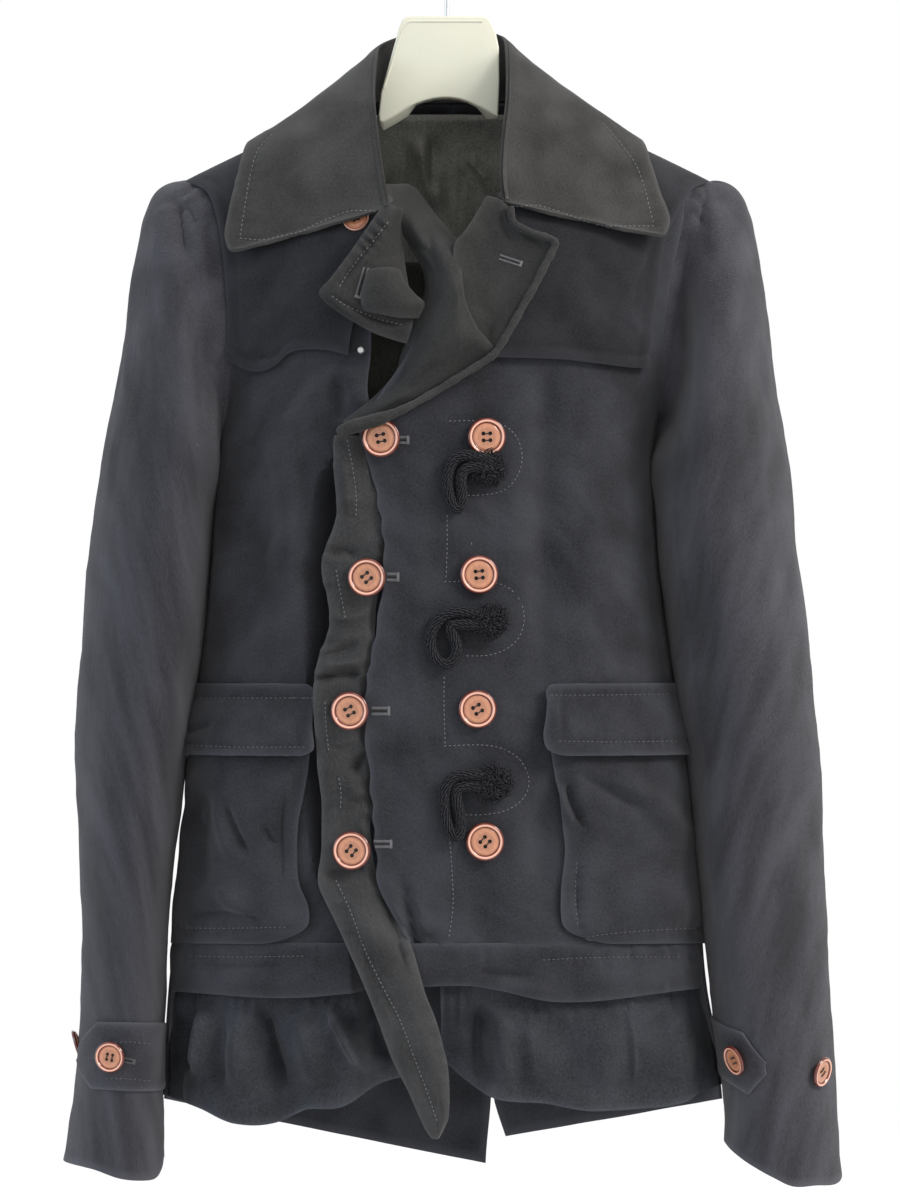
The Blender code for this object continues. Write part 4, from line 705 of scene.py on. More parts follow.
# Soft lights: name, place, aim, power, size, colour.
LAMPS = (
    ("key light", (2.0, -1.5, 1.2), (0, 0, -0.35), 38, 0.8, (1.0, 0.98, 0.95)),
    ("fill light", (-2.3, -0.8, 0.0), (0, 0, -0.5), 17, 1.2, (0.55, 0.73, 1.0)),
    ("top light", (0.3, -0.5, 1.5), (0, 0, -0.3), 7, 0.8, (1.0, 1.0, 1.0)),
    ("back light", (0.3, 2.2, 0.6), (0, 0, -0.4), 18, 1.6, (1.0, 1.0, 1.0)),
    ("sleeve light", (1.1, -0.5, 0.2), (0.23, 0, -0.26), 5.0, 0.4, (1.0, 0.98, 0.95)),
)
DEEP_FOLD = 26.0  # how deep the lower front folds in under the lapped one

# Turned-out facings, row by row from the neck down: share of the way, then x, z and depth of four places
# across, from the roll to the outer edge.
LEFT_LAPEL = (
    (0, 26.8, -196.3, -94, 31.5, -197, -92, 36.2, -199, -92, 40.9, -203, -92),
    (0.15, 19.4, -208.4, -95, 28.8, -208.4, -93, 39.5, -211.1, -94, 44.9, -216.4, -94),
    (0.3, 11.4, -220.4, -97, 30.2, -219.8, -94, 54.3, -219.8, -96, 62.3, -223.8, -96),
    (0.4, 5.4, -227.8, -98, 30.2, -227.8, -94, 64.3, -227.8, -96.5, 71, -227.8, -97),
    (0.5, 4, -240.5, -99, 28.8, -240.5, -94, 58.3, -240.5, -96, 65.7, -241.9, -97),
    (0.6, 4, -259.3, -100, 24.8, -256, -95, 49.6, -254.6, -97, 57, -256.6, -98),
    (0.7, 7.4, -274, -101, 24.8, -269.4, -96, 41.5, -268, -98, 48.9, -270.7, -99),
    (0.8, 12.7, -286.1, -101, 25.5, -282.1, -97, 35.5, -280.1, -98.5, 42.2, -284.1, -99.5),
    (0.9, 20.8, -294.8, -101, 27.5, -292.8, -98, 31.5, -290.1, -98.5, 36.9, -292.8, -99.5),
    (1, 27.5, -300.8, -100, 29.5, -299.5, -98.5, 30.8, -298.8, -98.5, 32.8, -300.2, -99.5),
)
NECK_FACING = (
    (0, -40.9, -188.3, -66, -33.5, -188.3, -62, -26.1, -188.3, -52, -19.4, -192.3, -40),
    (0.1, -38.2, -201, -78, -28.1, -201.7, -75, -15.4, -203.7, -66, -8.7, -207, -55),
    (0.2, -32.8, -216.4, -84, -20.8, -216.4, -87, -6, -218.4, -82, 2.7, -220.4, -72),
    (0.3, -24.8, -231.2, -80, -14.1, -231.2, -95, -0.7, -231.2, -97, 8, -229.8, -91),
    (0.42, -16.1, -247.2, -70, -8.7, -247.2, -98, 2, -247.2, -103, 10.1, -247.9, -98),
    (0.53, -15.4, -262, -68, -7.4, -262, -101, 6, -263.3, -107, 12.7, -266.7, -100),
    (0.63, -20.8, -276.7, -70, -10.7, -278.1, -104, 7.4, -279.4, -109, 20.8, -284.8, -101),
    (0.73, -26.1, -290.1, -72, -15.4, -293.5, -104, 7.4, -292.8, -108, 32.2, -299.5, -99.5),
    (0.82, -30.8, -302.2, -76, -21.4, -307.5, -102, -0.7, -310.2, -103, 23.5, -306.9, -99),
    (0.9, -35.5, -315.6, -80, -27.5, -322.9, -100, -12.7, -324.3, -101, -0.7, -322.3, -98.5),
    (0.96, -50.2, -331.7, -86, -42.2, -335, -98, -32.8, -335.7, -99, -24.1, -335, -98),
    (1, -69.7, -347.1, -91, -65.7, -349.8, -95, -61, -349.1, -95.5, -56.3, -346.4, -95),
)
RIGHT_LAPEL = (
    (0, -42.2, -201, -88, -36.9, -202.3, -90, -32.8, -203.7, -87, -29.5, -204.4, -80),
    (0.2, -52.9, -216.4, -95, -44.9, -220.4, -98, -36.9, -223.1, -93, -29.5, -224.5, -85),
    (0.4, -65, -233.8, -98, -55.6, -237.9, -101, -41.5, -240.5, -96, -28.1, -240.5, -88),
    (0.6, -77.7, -250.6, -100, -67.7, -255.3, -103, -46.2, -255.3, -99, -26.1, -253.9, -92),
    (0.74, -85.8, -260.6, -100, -74.4, -264.7, -104, -48.2, -268.7, -101, -22.8, -268.7, -96),
    (0.88, -81.1, -268, -99, -68.3, -273.4, -103, -48.2, -280.1, -102, -22.8, -281.4, -99),
    (1, -73, -274, -98, -63.7, -280.1, -100, -47.6, -288.8, -100, -26.8, -295.5, -98),
)
THROAT_TAB = (
    (0, -52.9, -245.2, -103, -44.9, -243.9, -105, -36.9, -243.9, -103, -30.8, -245.9, -99),
    (0.3, -55.6, -251.9, -105, -46.2, -251.3, -107.5, -36.9, -251.3, -106, -28.1, -253.3, -101),
    (0.6, -57.6, -261.3, -106, -46.9, -259.3, -109, -34.2, -259.3, -108, -20.8, -262, -101),
    (0.85, -57.6, -268.7, -106, -46.2, -268.7, -109, -31.5, -268.7, -108, -14.7, -268.7, -102),
    (1, -55.6, -273.4, -105, -46.2, -275.4, -107, -32.8, -278.1, -106, -18.8, -278.7, -101),
)
# The sheet inside the opening below the lapels: painted nearly black, it stands for the shade there and blocks
# the light.
PAINTED_SHADE_SHEET = (
    (0, -39.5, -240.5, -62, -30.2, -240.5, -58, -20.8, -240.5, -55, -7.4, -240.5, -52),
    (0.3, -46.2, -263.3, -62, -32.8, -263.3, -58, -20.8, -263.3, -55, -7.4, -263.3, -52),
    (0.6, -63.7, -290.1, -66, -48.9, -290.1, -60, -31.5, -291.5, -56, -14.1, -291.5, -54),
    (0.85, -68.3, -316.9, -68, -55.6, -318.3, -62, -39.5, -319.6, -58, -24.8, -320.9, -56),
    (1, -69.7, -341, -70, -59.6, -341, -66, -47.6, -339.7, -62, -34.2, -338.4, -60),
)
# The rolled rim that runs down the lapped front's edge: x, z, depth.
LAPEL_RIM = (
    (42.2, -203.7, -94), (44.9, -214.4, -96), (55.6, -220.4, -98), (67.7, -224.5, -99),
    (72.4, -227.8, -99.5), (69.7, -235.2, -99.5), (65.7, -242.6, -99.5), (59, -256, -100),
    (51.6, -268.7, -101), (44.2, -282.1, -101.5), (37.5, -293.5, -102), (30.8, -302.9, -102),
    (22.1, -308.9, -101.5), (10.1, -316.2, -101), (-2.7, -324.3, -100.5), (-15.4, -331.7, -100.5),
    (-28.8, -339, -101.5), (-43.6, -345.1, -102.5), (-57, -349.1, -102), (-67, -352.4, -99.5),
    (-71, -355.8, -97),
)
LAPEL_RIM_RADIUS = 2.5
RIM_STEPS = 150


# ---- shapes ----


def blend(a, b, share):
    return a + (b - a) * share


def ease(value, start, end):
    """0 before start, 1 after end, and a soft step between them."""
    share = np.clip((np.asarray(value, float) - start) / (end - start), 0, 1)
    return share * share * (3 - 2 * share)


def bell(value, middle, width):
    """1 at the middle, and falling softly on both sides of it."""
    return np.exp(-(((value - middle) / width) ** 2))


def unit(vectors):
    return vectors / np.maximum(np.linalg.norm(vectors, axis=-1, keepdims=True), 1e-9)


def travelled(spots):
    """How far along a line of spots each of them is."""
    return np.concatenate(([0], np.cumsum(np.linalg.norm(np.diff(spots, axis=0), axis=1))))


def curve(start, end, rise_start, rise_end, t):
    """A cubic from start to end at share t, with its rise at both ends."""
    return (
        start * (2 * t**3 - 3 * t**2 + 1)
        + rise_start * (t**3 - 2 * t**2 + t)
        + end * (3 * t**2 - 2 * t**3)
        + rise_end * (t**3 - t**2)
    )


def track(rows, at):
    """A smooth line through rows of (key, value, ...), read at one key or at an array of keys."""
    table = np.array(sorted(rows), float)
    keys, values = table[:, 0], table[:, 1:]
    at = np.clip(np.asarray(at, float), keys[0], keys[-1])
    low = np.clip(np.searchsorted(keys, at, side="right") - 1, 0, len(keys) - 2)
    high = low + 1
    before, after = np.maximum(low - 1, 0), np.minimum(high + 1, len(keys) - 1)
    span = (keys[high] - keys[low])[..., None]
    t = (at - keys[low])[..., None] / span
    rise_low = (values[high] - values[before]) / (keys[high] - keys[before])[..., None] * span
    rise_high = (values[after] - values[low]) / (keys[after] - keys[low])[..., None] * span
    return tuple(np.moveaxis(curve(values[low], values[high], rise_low, rise_high, t), -1, 0))


def through(points, count):
    """So many places on a smooth line through points, one array for each coordinate."""
    return track([(at, *point) for at, point in enumerate(points)], np.linspace(0, len(points) - 1, count))


def place(x, y, z):
    """The true point at depth y that is seen at x and z of the front plane."""
    x, y, z = np.broadcast_arrays(x, y, z)
    scale = 1 + (y - FRONT_PLANE) / VIEW_DISTANCE
    return np.stack((blend(VIEW_X, x, scale), y, blend(VIEW_Z, z, scale)), -1)


def seen(spots):
    """The x and z of the front plane at which true points are seen."""
    scale = 1 + (spots[..., 1] - FRONT_PLANE) / VIEW_DISTANCE
    return VIEW_X + (spots[..., 0] - VIEW_X) / scale, VIEW_Z + (spots[..., 2] - VIEW_Z) / scale


def shoulder_z(x):
    return SHOULDER_TOP - SHOULDER_SLOPE * (np.hypot(x, SHOULDER_ROUND) - NECK_REACH)


def neck_z(x):
    """The upper edge of the back: the shoulder line, then a shallow curve across the neck."""
    return np.minimum(shoulder_z(x), SHOULDER_TOP)


def torso(z):
    """The trunk's half width, middle, front depth and back depth, with its sides eased to the sleeves."""
    half_width, middle, front_depth, back_depth = track(TORSO, z)
    left, right = track(SIDE_EASE, z)
    return half_width + (left + right) / 2, middle + (right - left) / 2, front_depth, back_depth


def body_y(x, z, face):
    half_width, middle, front_depth, back_depth = torso(z)
    across = np.sqrt(np.clip(1 - ((x - middle) / half_width) ** 2, 0, 1))
    below = np.clip(shoulder_z(x) - z, 0, SHOULDER_DEPTH)
    fullness = np.sqrt(1 - (1 - below / SHOULDER_DEPTH) ** 2)
    depth = front_depth if face == FRONT else back_depth
    return face * depth * across**SECTION_POWER * fullness


def on_body(x, z, face, lift=0.0):
    """The body's outer surface at a seen place, moved out by lift along its normal."""
    x, z = np.broadcast_arrays(np.asarray(x, float), np.asarray(z, float))
    here = place(x, body_y(x, z, face), z)
    step = np.where(x < torso(z)[1], NORMAL_STEP, -NORMAL_STEP)
    inward = place(x + step, body_y(x + step, z, face), z) - here
    down = place(x, body_y(x, z - NORMAL_STEP, face), z - NORMAL_STEP) - here
    normal = np.cross(inward, down) * np.where(step < 0, -face, face)[..., None]
    return here + unit(normal) * np.asarray(lift)[..., None]


def side_spacing(u):
    """Packs the columns towards the side seam, where the body turns fastest."""
    return 1 - np.cos(u * pi / 2)


def shoulder_spacing(v):
    """Packs the rows towards the shoulder line, where the cloth turns over it."""
    return v**1.5


# ---- folds, sewing and unevenness ----


def nearest(line, x, z):
    """Distance to a line of points, how far along it the nearest place is, and the line's whole length."""
    line = np.array(line, float)
    start, step = line[:-1], np.diff(line, axis=0)
    run = travelled(line)
    lengths = np.diff(run)
    flat_x, flat_z = np.ravel(x)[:, None], np.ravel(z)[:, None]
    t = (flat_x - start[:, 0]) * step[:, 0] + (flat_z - start[:, 1]) * step[:, 1]
    t = np.clip(t / np.maximum(lengths**2, 1e-9), 0, 1)
    away = np.hypot(start[:, 0] + t * step[:, 0] - flat_x, start[:, 1] + t * step[:, 1] - flat_z)
    best = np.argmin(away, axis=1)
    pick = np.arange(len(best))
    along = run[best] + t[pick, best] * lengths[best]
    return away[pick, best].reshape(np.shape(x)), along.reshape(np.shape(x)), run[-1]


def bowed(start, middle, end, steps=14):
    """Points on the curve through three points."""
    start, middle, end = (np.array(spot, float) for spot in (start, middle, end))
    control = 2 * middle - (start + end) / 2
    t = np.linspace(0, 1, steps)[:, None]
    return start * (1 - t) ** 2 + control * 2 * t * (1 - t) + end * t**2


def kind_of(name):
    """The group that a cloth belongs to: the first word of its name."""
    return name.split("_")[0]


def folds(names, x, z):
    """The height of all folds of the named cloths at seen places."""
    height = np.zeros(np.shape(x))
    for name in names:
        strength = FOLD_STRENGTH.get(kind_of(name), 1.0)
        for start, middle, end, width, rise, power in FOLDS.get(name, ()):
            line = bowed(start, middle, end)
            (low_x, low_z), (high_x, high_z) = line.min(axis=0) - width * 4, line.max(axis=0) + width * 4
            near = (x > low_x) & (x < high_x) & (z > low_z) & (z < high_z)
            if near.any():
                away, along, whole = nearest(line, x[near], z[near])
                fade = ease(np.minimum(along, whole - along) / whole, 0, 0.3)
                height[near] += strength * rise * fade * np.exp(-((away / width) ** power))
    return height * sizes().fold_height


def sewn(names, x, z):
    """The groove along each line of sewing, with the small puckers beside it."""
    height = np.zeros(np.shape(x))
    for name in names:
        for line in SEWING.get(name, ()):
            away, along, _ = nearest(line, x, z)
            height -= GROOVE * bell(away, 0, 1.7)
            height += RIPPLE * bell(away, 0, 4.5) * np.sin(along * 0.95 + 1.3 * np.sin(along * 0.21))
    return height


def puckered(names, x, z):
    """Short ripples across the seams of the named cloths."""
    height = np.zeros(np.shape(x))
    for name in names:
        for line, reach, rise, spacing in PUCKERS.get(name, ()):
            away, along, _ = nearest(line, x, z)
            phase = along * 2 * pi / spacing + 1.9 * np.sin(along * 0.083) + 0.9 * np.sin(along * 0.31 + 1)
            swell = 0.6 + 0.4 * np.sin(along * 0.047 + 2)
            height += rise * swell * np.sin(phase) * bell(away, 0, reach)
    return height * sizes().fold_height


def uneven(x, z, seed, rise=1.0):
    """Slow waves of a cloth that hangs, from a few bent sines that cross each other."""
    height = np.zeros(np.shape(x))
    bent_x = x + 11 * np.sin(z * 0.053 + seed) + 4 * np.sin(z * 0.17 + seed * 2)
    bent_z = z + 11 * np.sin(x * 0.047 + seed * 3) + 4 * np.sin(x * 0.19 + seed)
    for index, length in enumerate(WAVES):
        turn = seed * 1.7 + index * 2.4
        wave = (bent_x * cos(turn) + bent_z * sin(turn)) * 2 * pi / length
        height += np.sin(wave + turn * 3) * length / WAVES[0]
    return height * rise * 0.55


def relief(names, x, z, seed, rise=1.0):
    return folds(names, x, z) + sewn(names, x, z) + puckered(names, x, z) + uneven(x, z, seed, rise)


# ---- making meshes ----


def sizes():
    return bpy.context.scene.coat_sizes


def deselect():
    bpy.ops.object.select_all(action="DESELECT")


def apply_modifier(made, name, kind, **settings):
    bpy.context.view_layer.objects.active = made
    modifier = made.modifiers.new(name, kind)
    for key, value in settings.items():
        setattr(modifier, key, value)
    bpy.ops.object.modifier_apply(modifier=modifier.name)


def edit_all(*steps):
    """Runs steps in edit mode, each on the whole of the active piece."""
    bpy.ops.object.mode_set(mode="EDIT")
    for step in steps:
        bpy.ops.mesh.select_all(action="SELECT")
        step()
    bpy.ops.object.mode_set(mode="OBJECT")


def get_spots(mesh):
    spots = np.empty(len(mesh.vertices) * 3, np.float32)
    mesh.vertices.foreach_get("co", spots)
    return spots.reshape(-1, 3).astype(float)


def set_spots(mesh, spots):
    mesh.vertices.foreach_set("co", np.ascontiguousarray(spots, np.float32).ravel())
    mesh.update()


def set_uv(mesh, uv):
    """Gives each vertex's place on the flat cloth to all the corners that meet there."""
    corner = np.empty(len(mesh.loops), np.int32)
    mesh.loops.foreach_get("vertex_index", corner)
    layer = mesh.uv_layers.active or mesh.uv_layers.new(name="UVMap")
    layer.data.foreach_set("uv", np.asarray(uv, np.float32)[corner].ravel())


def finish_piece(made, finish, nodes=(), angle=50):
    """Puts a piece's place in its mesh, smooths it, paints it, ties it to the coat and hides the CAD nodes it
    stands for.
    """
    deselect()
    made.select_set(True)
    bpy.context.view_layer.objects.active = made
    bpy.ops.object.transform_apply(location=True, rotation=True, scale=True)
    bpy.ops.object.shade_smooth_by_angle(angle=radians(angle))
    made.data.materials.clear()
    made.data.materials.append(FINISHES[finish])
    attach(made, "root")
    if nodes:
        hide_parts(*nodes)


def sheet(name, point, cell, wall, facing, finish, nodes, closed=False):
    """A cloth sheet: a grid whose points go where point(u, v) says, with a wall behind it and a soft edge."""
    line, flat = np.linspace(0, 1, 60), np.ones(60)
    width = max(travelled(point(line, flat * v))[-1] for v in (0, 0.5, 1))
    length = max(travelled(point(flat * u, line))[-1] for u in (0, 0.5, 1))
    cells = np.broadcast_to(cell, 2)
    columns, rows = (max(4, round(size / each)) for size, each in zip((width, length), cells))
    deselect()
    bpy.ops.mesh.primitive_grid_add(x_subdivisions=columns, y_subdivisions=rows, size=1)
    made = bpy.context.object
    made.name = made.data.name = "cloth_" + name
    mesh = made.data
    u, v = get_spots(mesh).T[:2] + 0.5
    spots = point(u, v)
    set_spots(mesh, spots * MM)
    grid = spots.reshape(rows + 1, columns + 1, 3)
    across = np.cumsum(np.linalg.norm(np.diff(grid, axis=1, prepend=grid[:, :1]), axis=2), axis=1)
    down = np.cumsum(np.linalg.norm(np.diff(grid, axis=0, prepend=grid[:1]), axis=2), axis=0)
    set_uv(mesh, np.stack((across - across[:, -1:] / 2, down), -1).reshape(-1, 2) * MM)
    rim = np.minimum(down, down[-1:] - down)
    if not closed:
        rim = np.minimum(rim, np.minimum(across, across[:, -1:] - across))
    # Nearness to the edge, which the finishes paint lighter: partly wear, partly a painted highlight on the
    # rolled edge.
    wear_and_highlight = mesh.attributes.new("wear_and_highlight", "FLOAT", "POINT")
    wear_and_highlight.data.foreach_set("value", np.exp(-rim / WEAR_AND_HIGHLIGHT_REACH).astype(np.float32).ravel())
    row, column = rows // 2, columns // 2
    middle = grid[row, column]
    if np.dot(np.cross(grid[row, column + 1] - middle, grid[row + 1, column] - middle), facing) < 0:
        mesh.flip_normals()
    if closed:
        edit_all(partial(bpy.ops.mesh.remove_doubles, threshold=0.00002))
    apply_modifier(made, "wall", "SOLIDIFY", thickness=wall * MM, offset=-1.0, use_even_offset=False)
    soft = {"width": min(ROUNDING, wall * 0.42) * MM, "segments": 2, "angle_limit": radians(55)}
    apply_modifier(made, "soft edge", "BEVEL", limit_method="ANGLE", **soft)
    finish_piece(made, finish, nodes)


def rounded(u, v, size, radius, corners):
    """Moves a unit square's points so that the named corners are round: corners are pairs of u and v ends."""
    share_u, share_v = radius / size[0], radius / size[1]
    for end_u, end_v in corners:
        a = (u if end_u else 1 - u) - (1 - share_u)
        b = (v if end_v else 1 - v) - (1 - share_v)
        inside = (a > 0) & (b > 0)
        a, b = np.clip(a / share_u, 0, 1), np.clip(b / share_v, 0, 1)
        far_u = (1 - share_u) + a * np.sqrt(1 - b * b / 2) * share_u
        far_v = (1 - share_v) + b * np.sqrt(1 - a * a / 2) * share_v
        u = np.where(inside, far_u if end_u else 1 - far_u, u)
        v = np.where(inside, far_v if end_v else 1 - far_v, v)
    return u, v


# ---- finishes ----


class Wire:
    """A value in a shader. Arithmetic on it adds Math nodes to the tree that it belongs to."""

    def __init__(self, nodes, socket):
        self.nodes, self.socket = nodes, socket

    def maths(self, operation, first, second=0.0):
        return self.nodes.node("ShaderNodeMath", {"operation": operation}, {0: first, 1: second})

    def __add__(self, other):
        return self.maths("ADD", self, other)

    def __sub__(self, other):
        return self.maths("SUBTRACT", self, other)

    def __rsub__(self, other):
        return self.maths("SUBTRACT", other, self)

    def __mul__(self, other):
        return self.maths("MULTIPLY", self, other)

    def __truediv__(self, other):
        return self.maths("DIVIDE", self, other)

    def __rtruediv__(self, other):
        return self.maths("DIVIDE", other, self)

    __radd__, __rmul__ = __add__, __mul__

    def wave(self):
        """A sine, brought between 0 and 1."""
        return self.maths("SINE", self) * 0.5 + 0.5

    def ramp(self, low, high):
        """0 below low, 1 above high, and a soft step between them."""
        settings = {"interpolation_type": "SMOOTHSTEP"}
        return self.nodes.node("ShaderNodeMapRange", settings, {0: self, 1: low, 2: high})


class Nodes:
    """A shader's node tree while it is being built."""

    def __init__(self, tree):
        self.tree = tree

    def node(self, kind, settings=None, inputs=None, output=0):
        """Adds a node of a type: its settings first, then the values or links of its sockets."""
        made = self.tree.nodes.new(kind)
        for key, value in (settings or {}).items():
            if key == "stops":
                self.set_stops(made.color_ramp.elements, value)
            else:
                setattr(made, key, value)
        for key, value in (inputs or {}).items():
            self.join(value, made.inputs[key])
        return Wire(self, made.outputs[output])

    def set_stops(self, stops, values):
        for at, _ in values[1:-1]:
            stops.new(at)
        for stop, (at, grey) in zip(stops, values):
            stop.position, stop.color = at, (grey, grey, grey, 1)

    def join(self, value, socket):
        if isinstance(value, Wire):
            self.tree.links.new(value.socket, socket)
        else:
            socket.default_value = value

    def split(self, at):
        """The x, y and z of a vector."""
        x = self.node("ShaderNodeSeparateXYZ", None, {0: at})
        return x, *(Wire(self, socket) for socket in list(x.socket.node.outputs)[1:])


class Finish(Nodes):
    """A material being built: its shader, and the helpers that every finish here uses."""

    def __init__(self, name, **constants):
        self.material = bpy.data.materials.new(name)
        self.material.use_nodes = True
        super().__init__(self.material.node_tree)
        self.shader = self.tree.nodes["Principled BSDF"]
        self.paint(**constants)

    def paint(self, **values):
        for key, value in values.items():
            self.join(value, self.shader.inputs[key.replace("_", " ").title().replace("Ior", "IOR")])
        return self.material

    def flat_place(self):
        """The place on the flat cloth, in metres."""
        return self.node("ShaderNodeUVMap")

    def object_place(self):
        return self.node("ShaderNodeTexCoord", None, None, 3)

    def noise(self, at, scale, detail=2.0, roughness=0.5):
        inputs = {"Vector": at, "Scale": scale, "Detail": detail, "Roughness": roughness}
        return self.node("ShaderNodeTexNoise", None, inputs)

    def mix(self, share, a, b):
        """A colour between two colours."""
        colour = [(*value, 1.0) if isinstance(value, tuple) else value for value in (a, b)]
        settings = {"data_type": "RGBA", "clamp_factor": True}
        return self.node("ShaderNodeMix", settings, {0: share, 6: colour[0], 7: colour[1]}, 2)

    def stretch(self, at, scale, turn=0.0):
        return self.node("ShaderNodeMapping", None, {"Vector": at, "Scale": scale, "Rotation": (0, 0, turn)})

    def length(self, at):
        return self.node("ShaderNodeVectorMath", {"operation": "LENGTH"}, {0: at}, 1)

    # Nearness to the edge, painted lighter by the finishes as wear and painted highlight.
    def wear_and_highlight(self):
        return self.node("ShaderNodeAttribute", {"attribute_name": "wear_and_highlight"}, None, 2)

    def bump(self, height, distance, strength):
        inputs = {"Height": height, "Distance": distance, "Strength": strength}
        return self.node("ShaderNodeBump", None, inputs)


def shade(colour, share):
    return tuple(min(1.0, part * share) for part in tuple(colour)[:3])


def woollen(name, colour, thread, lint, sheen):
    """A matte wool twill: slanting ribs of yarn, a nap of short fibres over them, and specks of lint."""
    finish = Finish(name, sheen_weight=sheen, sheen_roughness=0.45, specular_ior_level=0.25)
    at = finish.flat_place()
    across, down, _ = finish.split(at)
    slow = finish.noise(at, 26, 3.0)
    patch = finish.noise(at, 9, 2.0)
    fibre = finish.noise(finish.stretch(at, (1.0, 0.45, 1.0), 0.6), 2400, 3.0, 0.65)
    grain = finish.noise(at, 560, 3.0, 0.7)
    drift = finish.noise(at, 140, 2.0)
    rib = ((across + down + drift * 0.0006) * (2 * pi / thread)).wave()
    cross = ((across - down * 1.2 + drift * 0.0005) * (2 * pi / (thread * 0.62))).wave()
    weave = rib * 0.6 + cross * 0.4
    cells = {"Vector": finish.stretch(at, (1, 0.55, 1), 0.4), "Scale": 75.0}
    speck = 1 - finish.node("ShaderNodeTexVoronoi", None, cells).ramp(0.012, 0.05)
    rare = finish.noise(at, 60, 0.0).ramp(0.62, 0.64)
    tone = slow * 1.5 + patch + grain * 1.3 + fibre * 0.9 + weave * 0.5 - 2.1
    cloth = finish.mix(tone, shade(colour, 0.4), shade(colour, 1.6))
    # Edges painted lighter, as wear and painted highlight.
    rubbed_and_highlit = finish.mix(finish.wear_and_highlight() * (fibre * 0.9 + 0.2), cloth, shade(colour, 2.3))
    linty = finish.mix(speck * rare * lint, rubbed_and_highlit, (0.3, 0.3, 0.31))
    height = weave * 0.6 + fibre * 0.4 + grain * 0.5 + slow * 2.0
    bump = finish.bump(height, 0.0007, 0.5)
    return finish.paint(base_color=linty, roughness=0.98 - fibre * 0.12, normal=bump)


def plain_woven(name, colour, thread, rough, sheen, gloss=0.25):
    """A smooth plain weave or satin: fine threads both ways, faint streaks along them, edges painted lighter as
    wear and painted highlight.
    """
    finish = Finish(name, sheen_weight=sheen, sheen_roughness=0.35, specular_ior_level=gloss)
    at = finish.flat_place()
    across, down, _ = finish.split(at)
    warp, weft = ((way * (2 * pi / thread)).wave() for way in (across, down))
    slow = finish.noise(at, 22, 3.0)
    streak = finish.noise(finish.stretch(at, (1.0, 0.05, 1.0)), 900, 2.0)
    grain = finish.noise(at, 1800, 2.0, 0.6)
    coarse = finish.noise(at, 520, 3.0, 0.7)
    tone = slow * 1.7 + streak * 0.5 + grain * 0.4 + coarse * 1.5 + warp * weft * 0.3 - 1.65
    cloth = finish.mix(tone, shade(colour, 0.4), shade(colour, 1.65))
    # Edges painted lighter, as wear and painted highlight.
    rubbed_and_highlit = finish.mix(finish.wear_and_highlight() * (coarse * 0.9 + 0.3), cloth, shade(colour, 2.2))
    height = warp * weft * 0.5 + grain * 0.3 + slow * 2.0 + coarse * 0.8
    roughness = streak * 0.14 + slow * 0.1 + (rough - 0.12)
    return finish.paint(base_color=rubbed_and_highlit, roughness=roughness, normal=finish.bump(height, 0.0006, 0.4))


def corded(name, colour):
    """Twisted black cord: slanting yarns with fine fibres along them, with a painted highlight along each yarn.
    """
    finish = Finish(name, sheen_weight=0.04, sheen_roughness=0.5, specular_ior_level=0.1)
    at = finish.flat_place()
    fibre = finish.noise(finish.stretch(at, (1.0, 0.12, 1.0), 0.2), 2600, 3.0, 0.7)
    slow = finish.noise(at, 300, 2.0)
    across, down, _ = finish.split(at)
    yarn = ((across + down * 0.8) * (2 * pi / YARN_PITCH)).wave()
    # The yarn waves and fibres paint the cord up to 7.5 times lighter: a painted highlight.
    cloth = finish.mix(yarn * 1.1 + fibre * 1.2 + slow * 0.4 - 1.0, shade(colour, 0.3), shade(colour, 7.5))
    return finish.paint(base_color=cloth, roughness=0.98 - fibre * 0.08, normal=finish.bump(fibre, 0.0008, 0.8))


def thread_like(name, colour):
    """Sewing thread: two plies that catch the light in turn."""
    finish = Finish(name, sheen_weight=0.2, specular_ior_level=0.35)
    ply = finish.noise(finish.object_place(), 2600, 1.0)
    tone = finish.mix(ply, shade(colour, 0.75), shade(colour, 1.2))
    return finish.paint(base_color=tone, roughness=0.55 + ply * 0.3, normal=finish.bump(ply, 0.0002, 0.5))


def turned_button(name, face, rim, radius):
    """Polished button: a streaked dished face painted darker in its middle as painted shade, a dark groove round
    it, a painted highlight ring and a dark outer lip.
    """
    finish = Finish(name, coat_weight=0.7, coat_roughness=0.08, specular_ior_level=0.5)
    at = finish.flat_place()
    out = finish.length(at) / (radius * MM)
    # The painted highlight ring on the button's convex rim.
    ring = out.ramp(0.775, 0.805) * (1 - out.ramp(0.87, 0.91))
    cloud = finish.noise(finish.stretch(at, (1.0, 0.35, 1.0), 0.7), 420, 4.0, 0.6)
    grain = finish.noise(at, 2400, 2.0)
    streaks = cloud * 0.8 + grain * 0.2
    # The dished middle is painted darker than its slope: painted shade in the hollow.
    bowl_in_painted_shade = finish.mix(streaks, shade(face, 0.5), shade(face, 1.12))
    slope = finish.mix(streaks, shade(face, 0.64), shade(face, 1.4))
    inner = finish.mix(out.ramp(0.4, 0.56), bowl_in_painted_shade, slope)
    dark = finish.mix(cloud, shade(rim, 0.6), shade(rim, 1.5))
    body = finish.mix(out.ramp(0.69, 0.735), inner, dark)
    # Paints the highlight ring over the button.
    lit = finish.mix(ring * 0.9, body, (0.95, 0.5, 0.36))
    lip = finish.mix(out.ramp(0.9, 0.96) * 0.95, lit, shade(rim, 0.9))
    scuffed = finish.mix(grain.ramp(0.68, 0.8) * 0.25, lip, (0.75, 0.6, 0.5))
    bump = finish.bump(cloud * 0.4 + grain * 0.6, 0.0001, 0.3)
    return finish.paint(base_color=scuffed, roughness=cloud * 0.16 + 0.16, normal=bump)


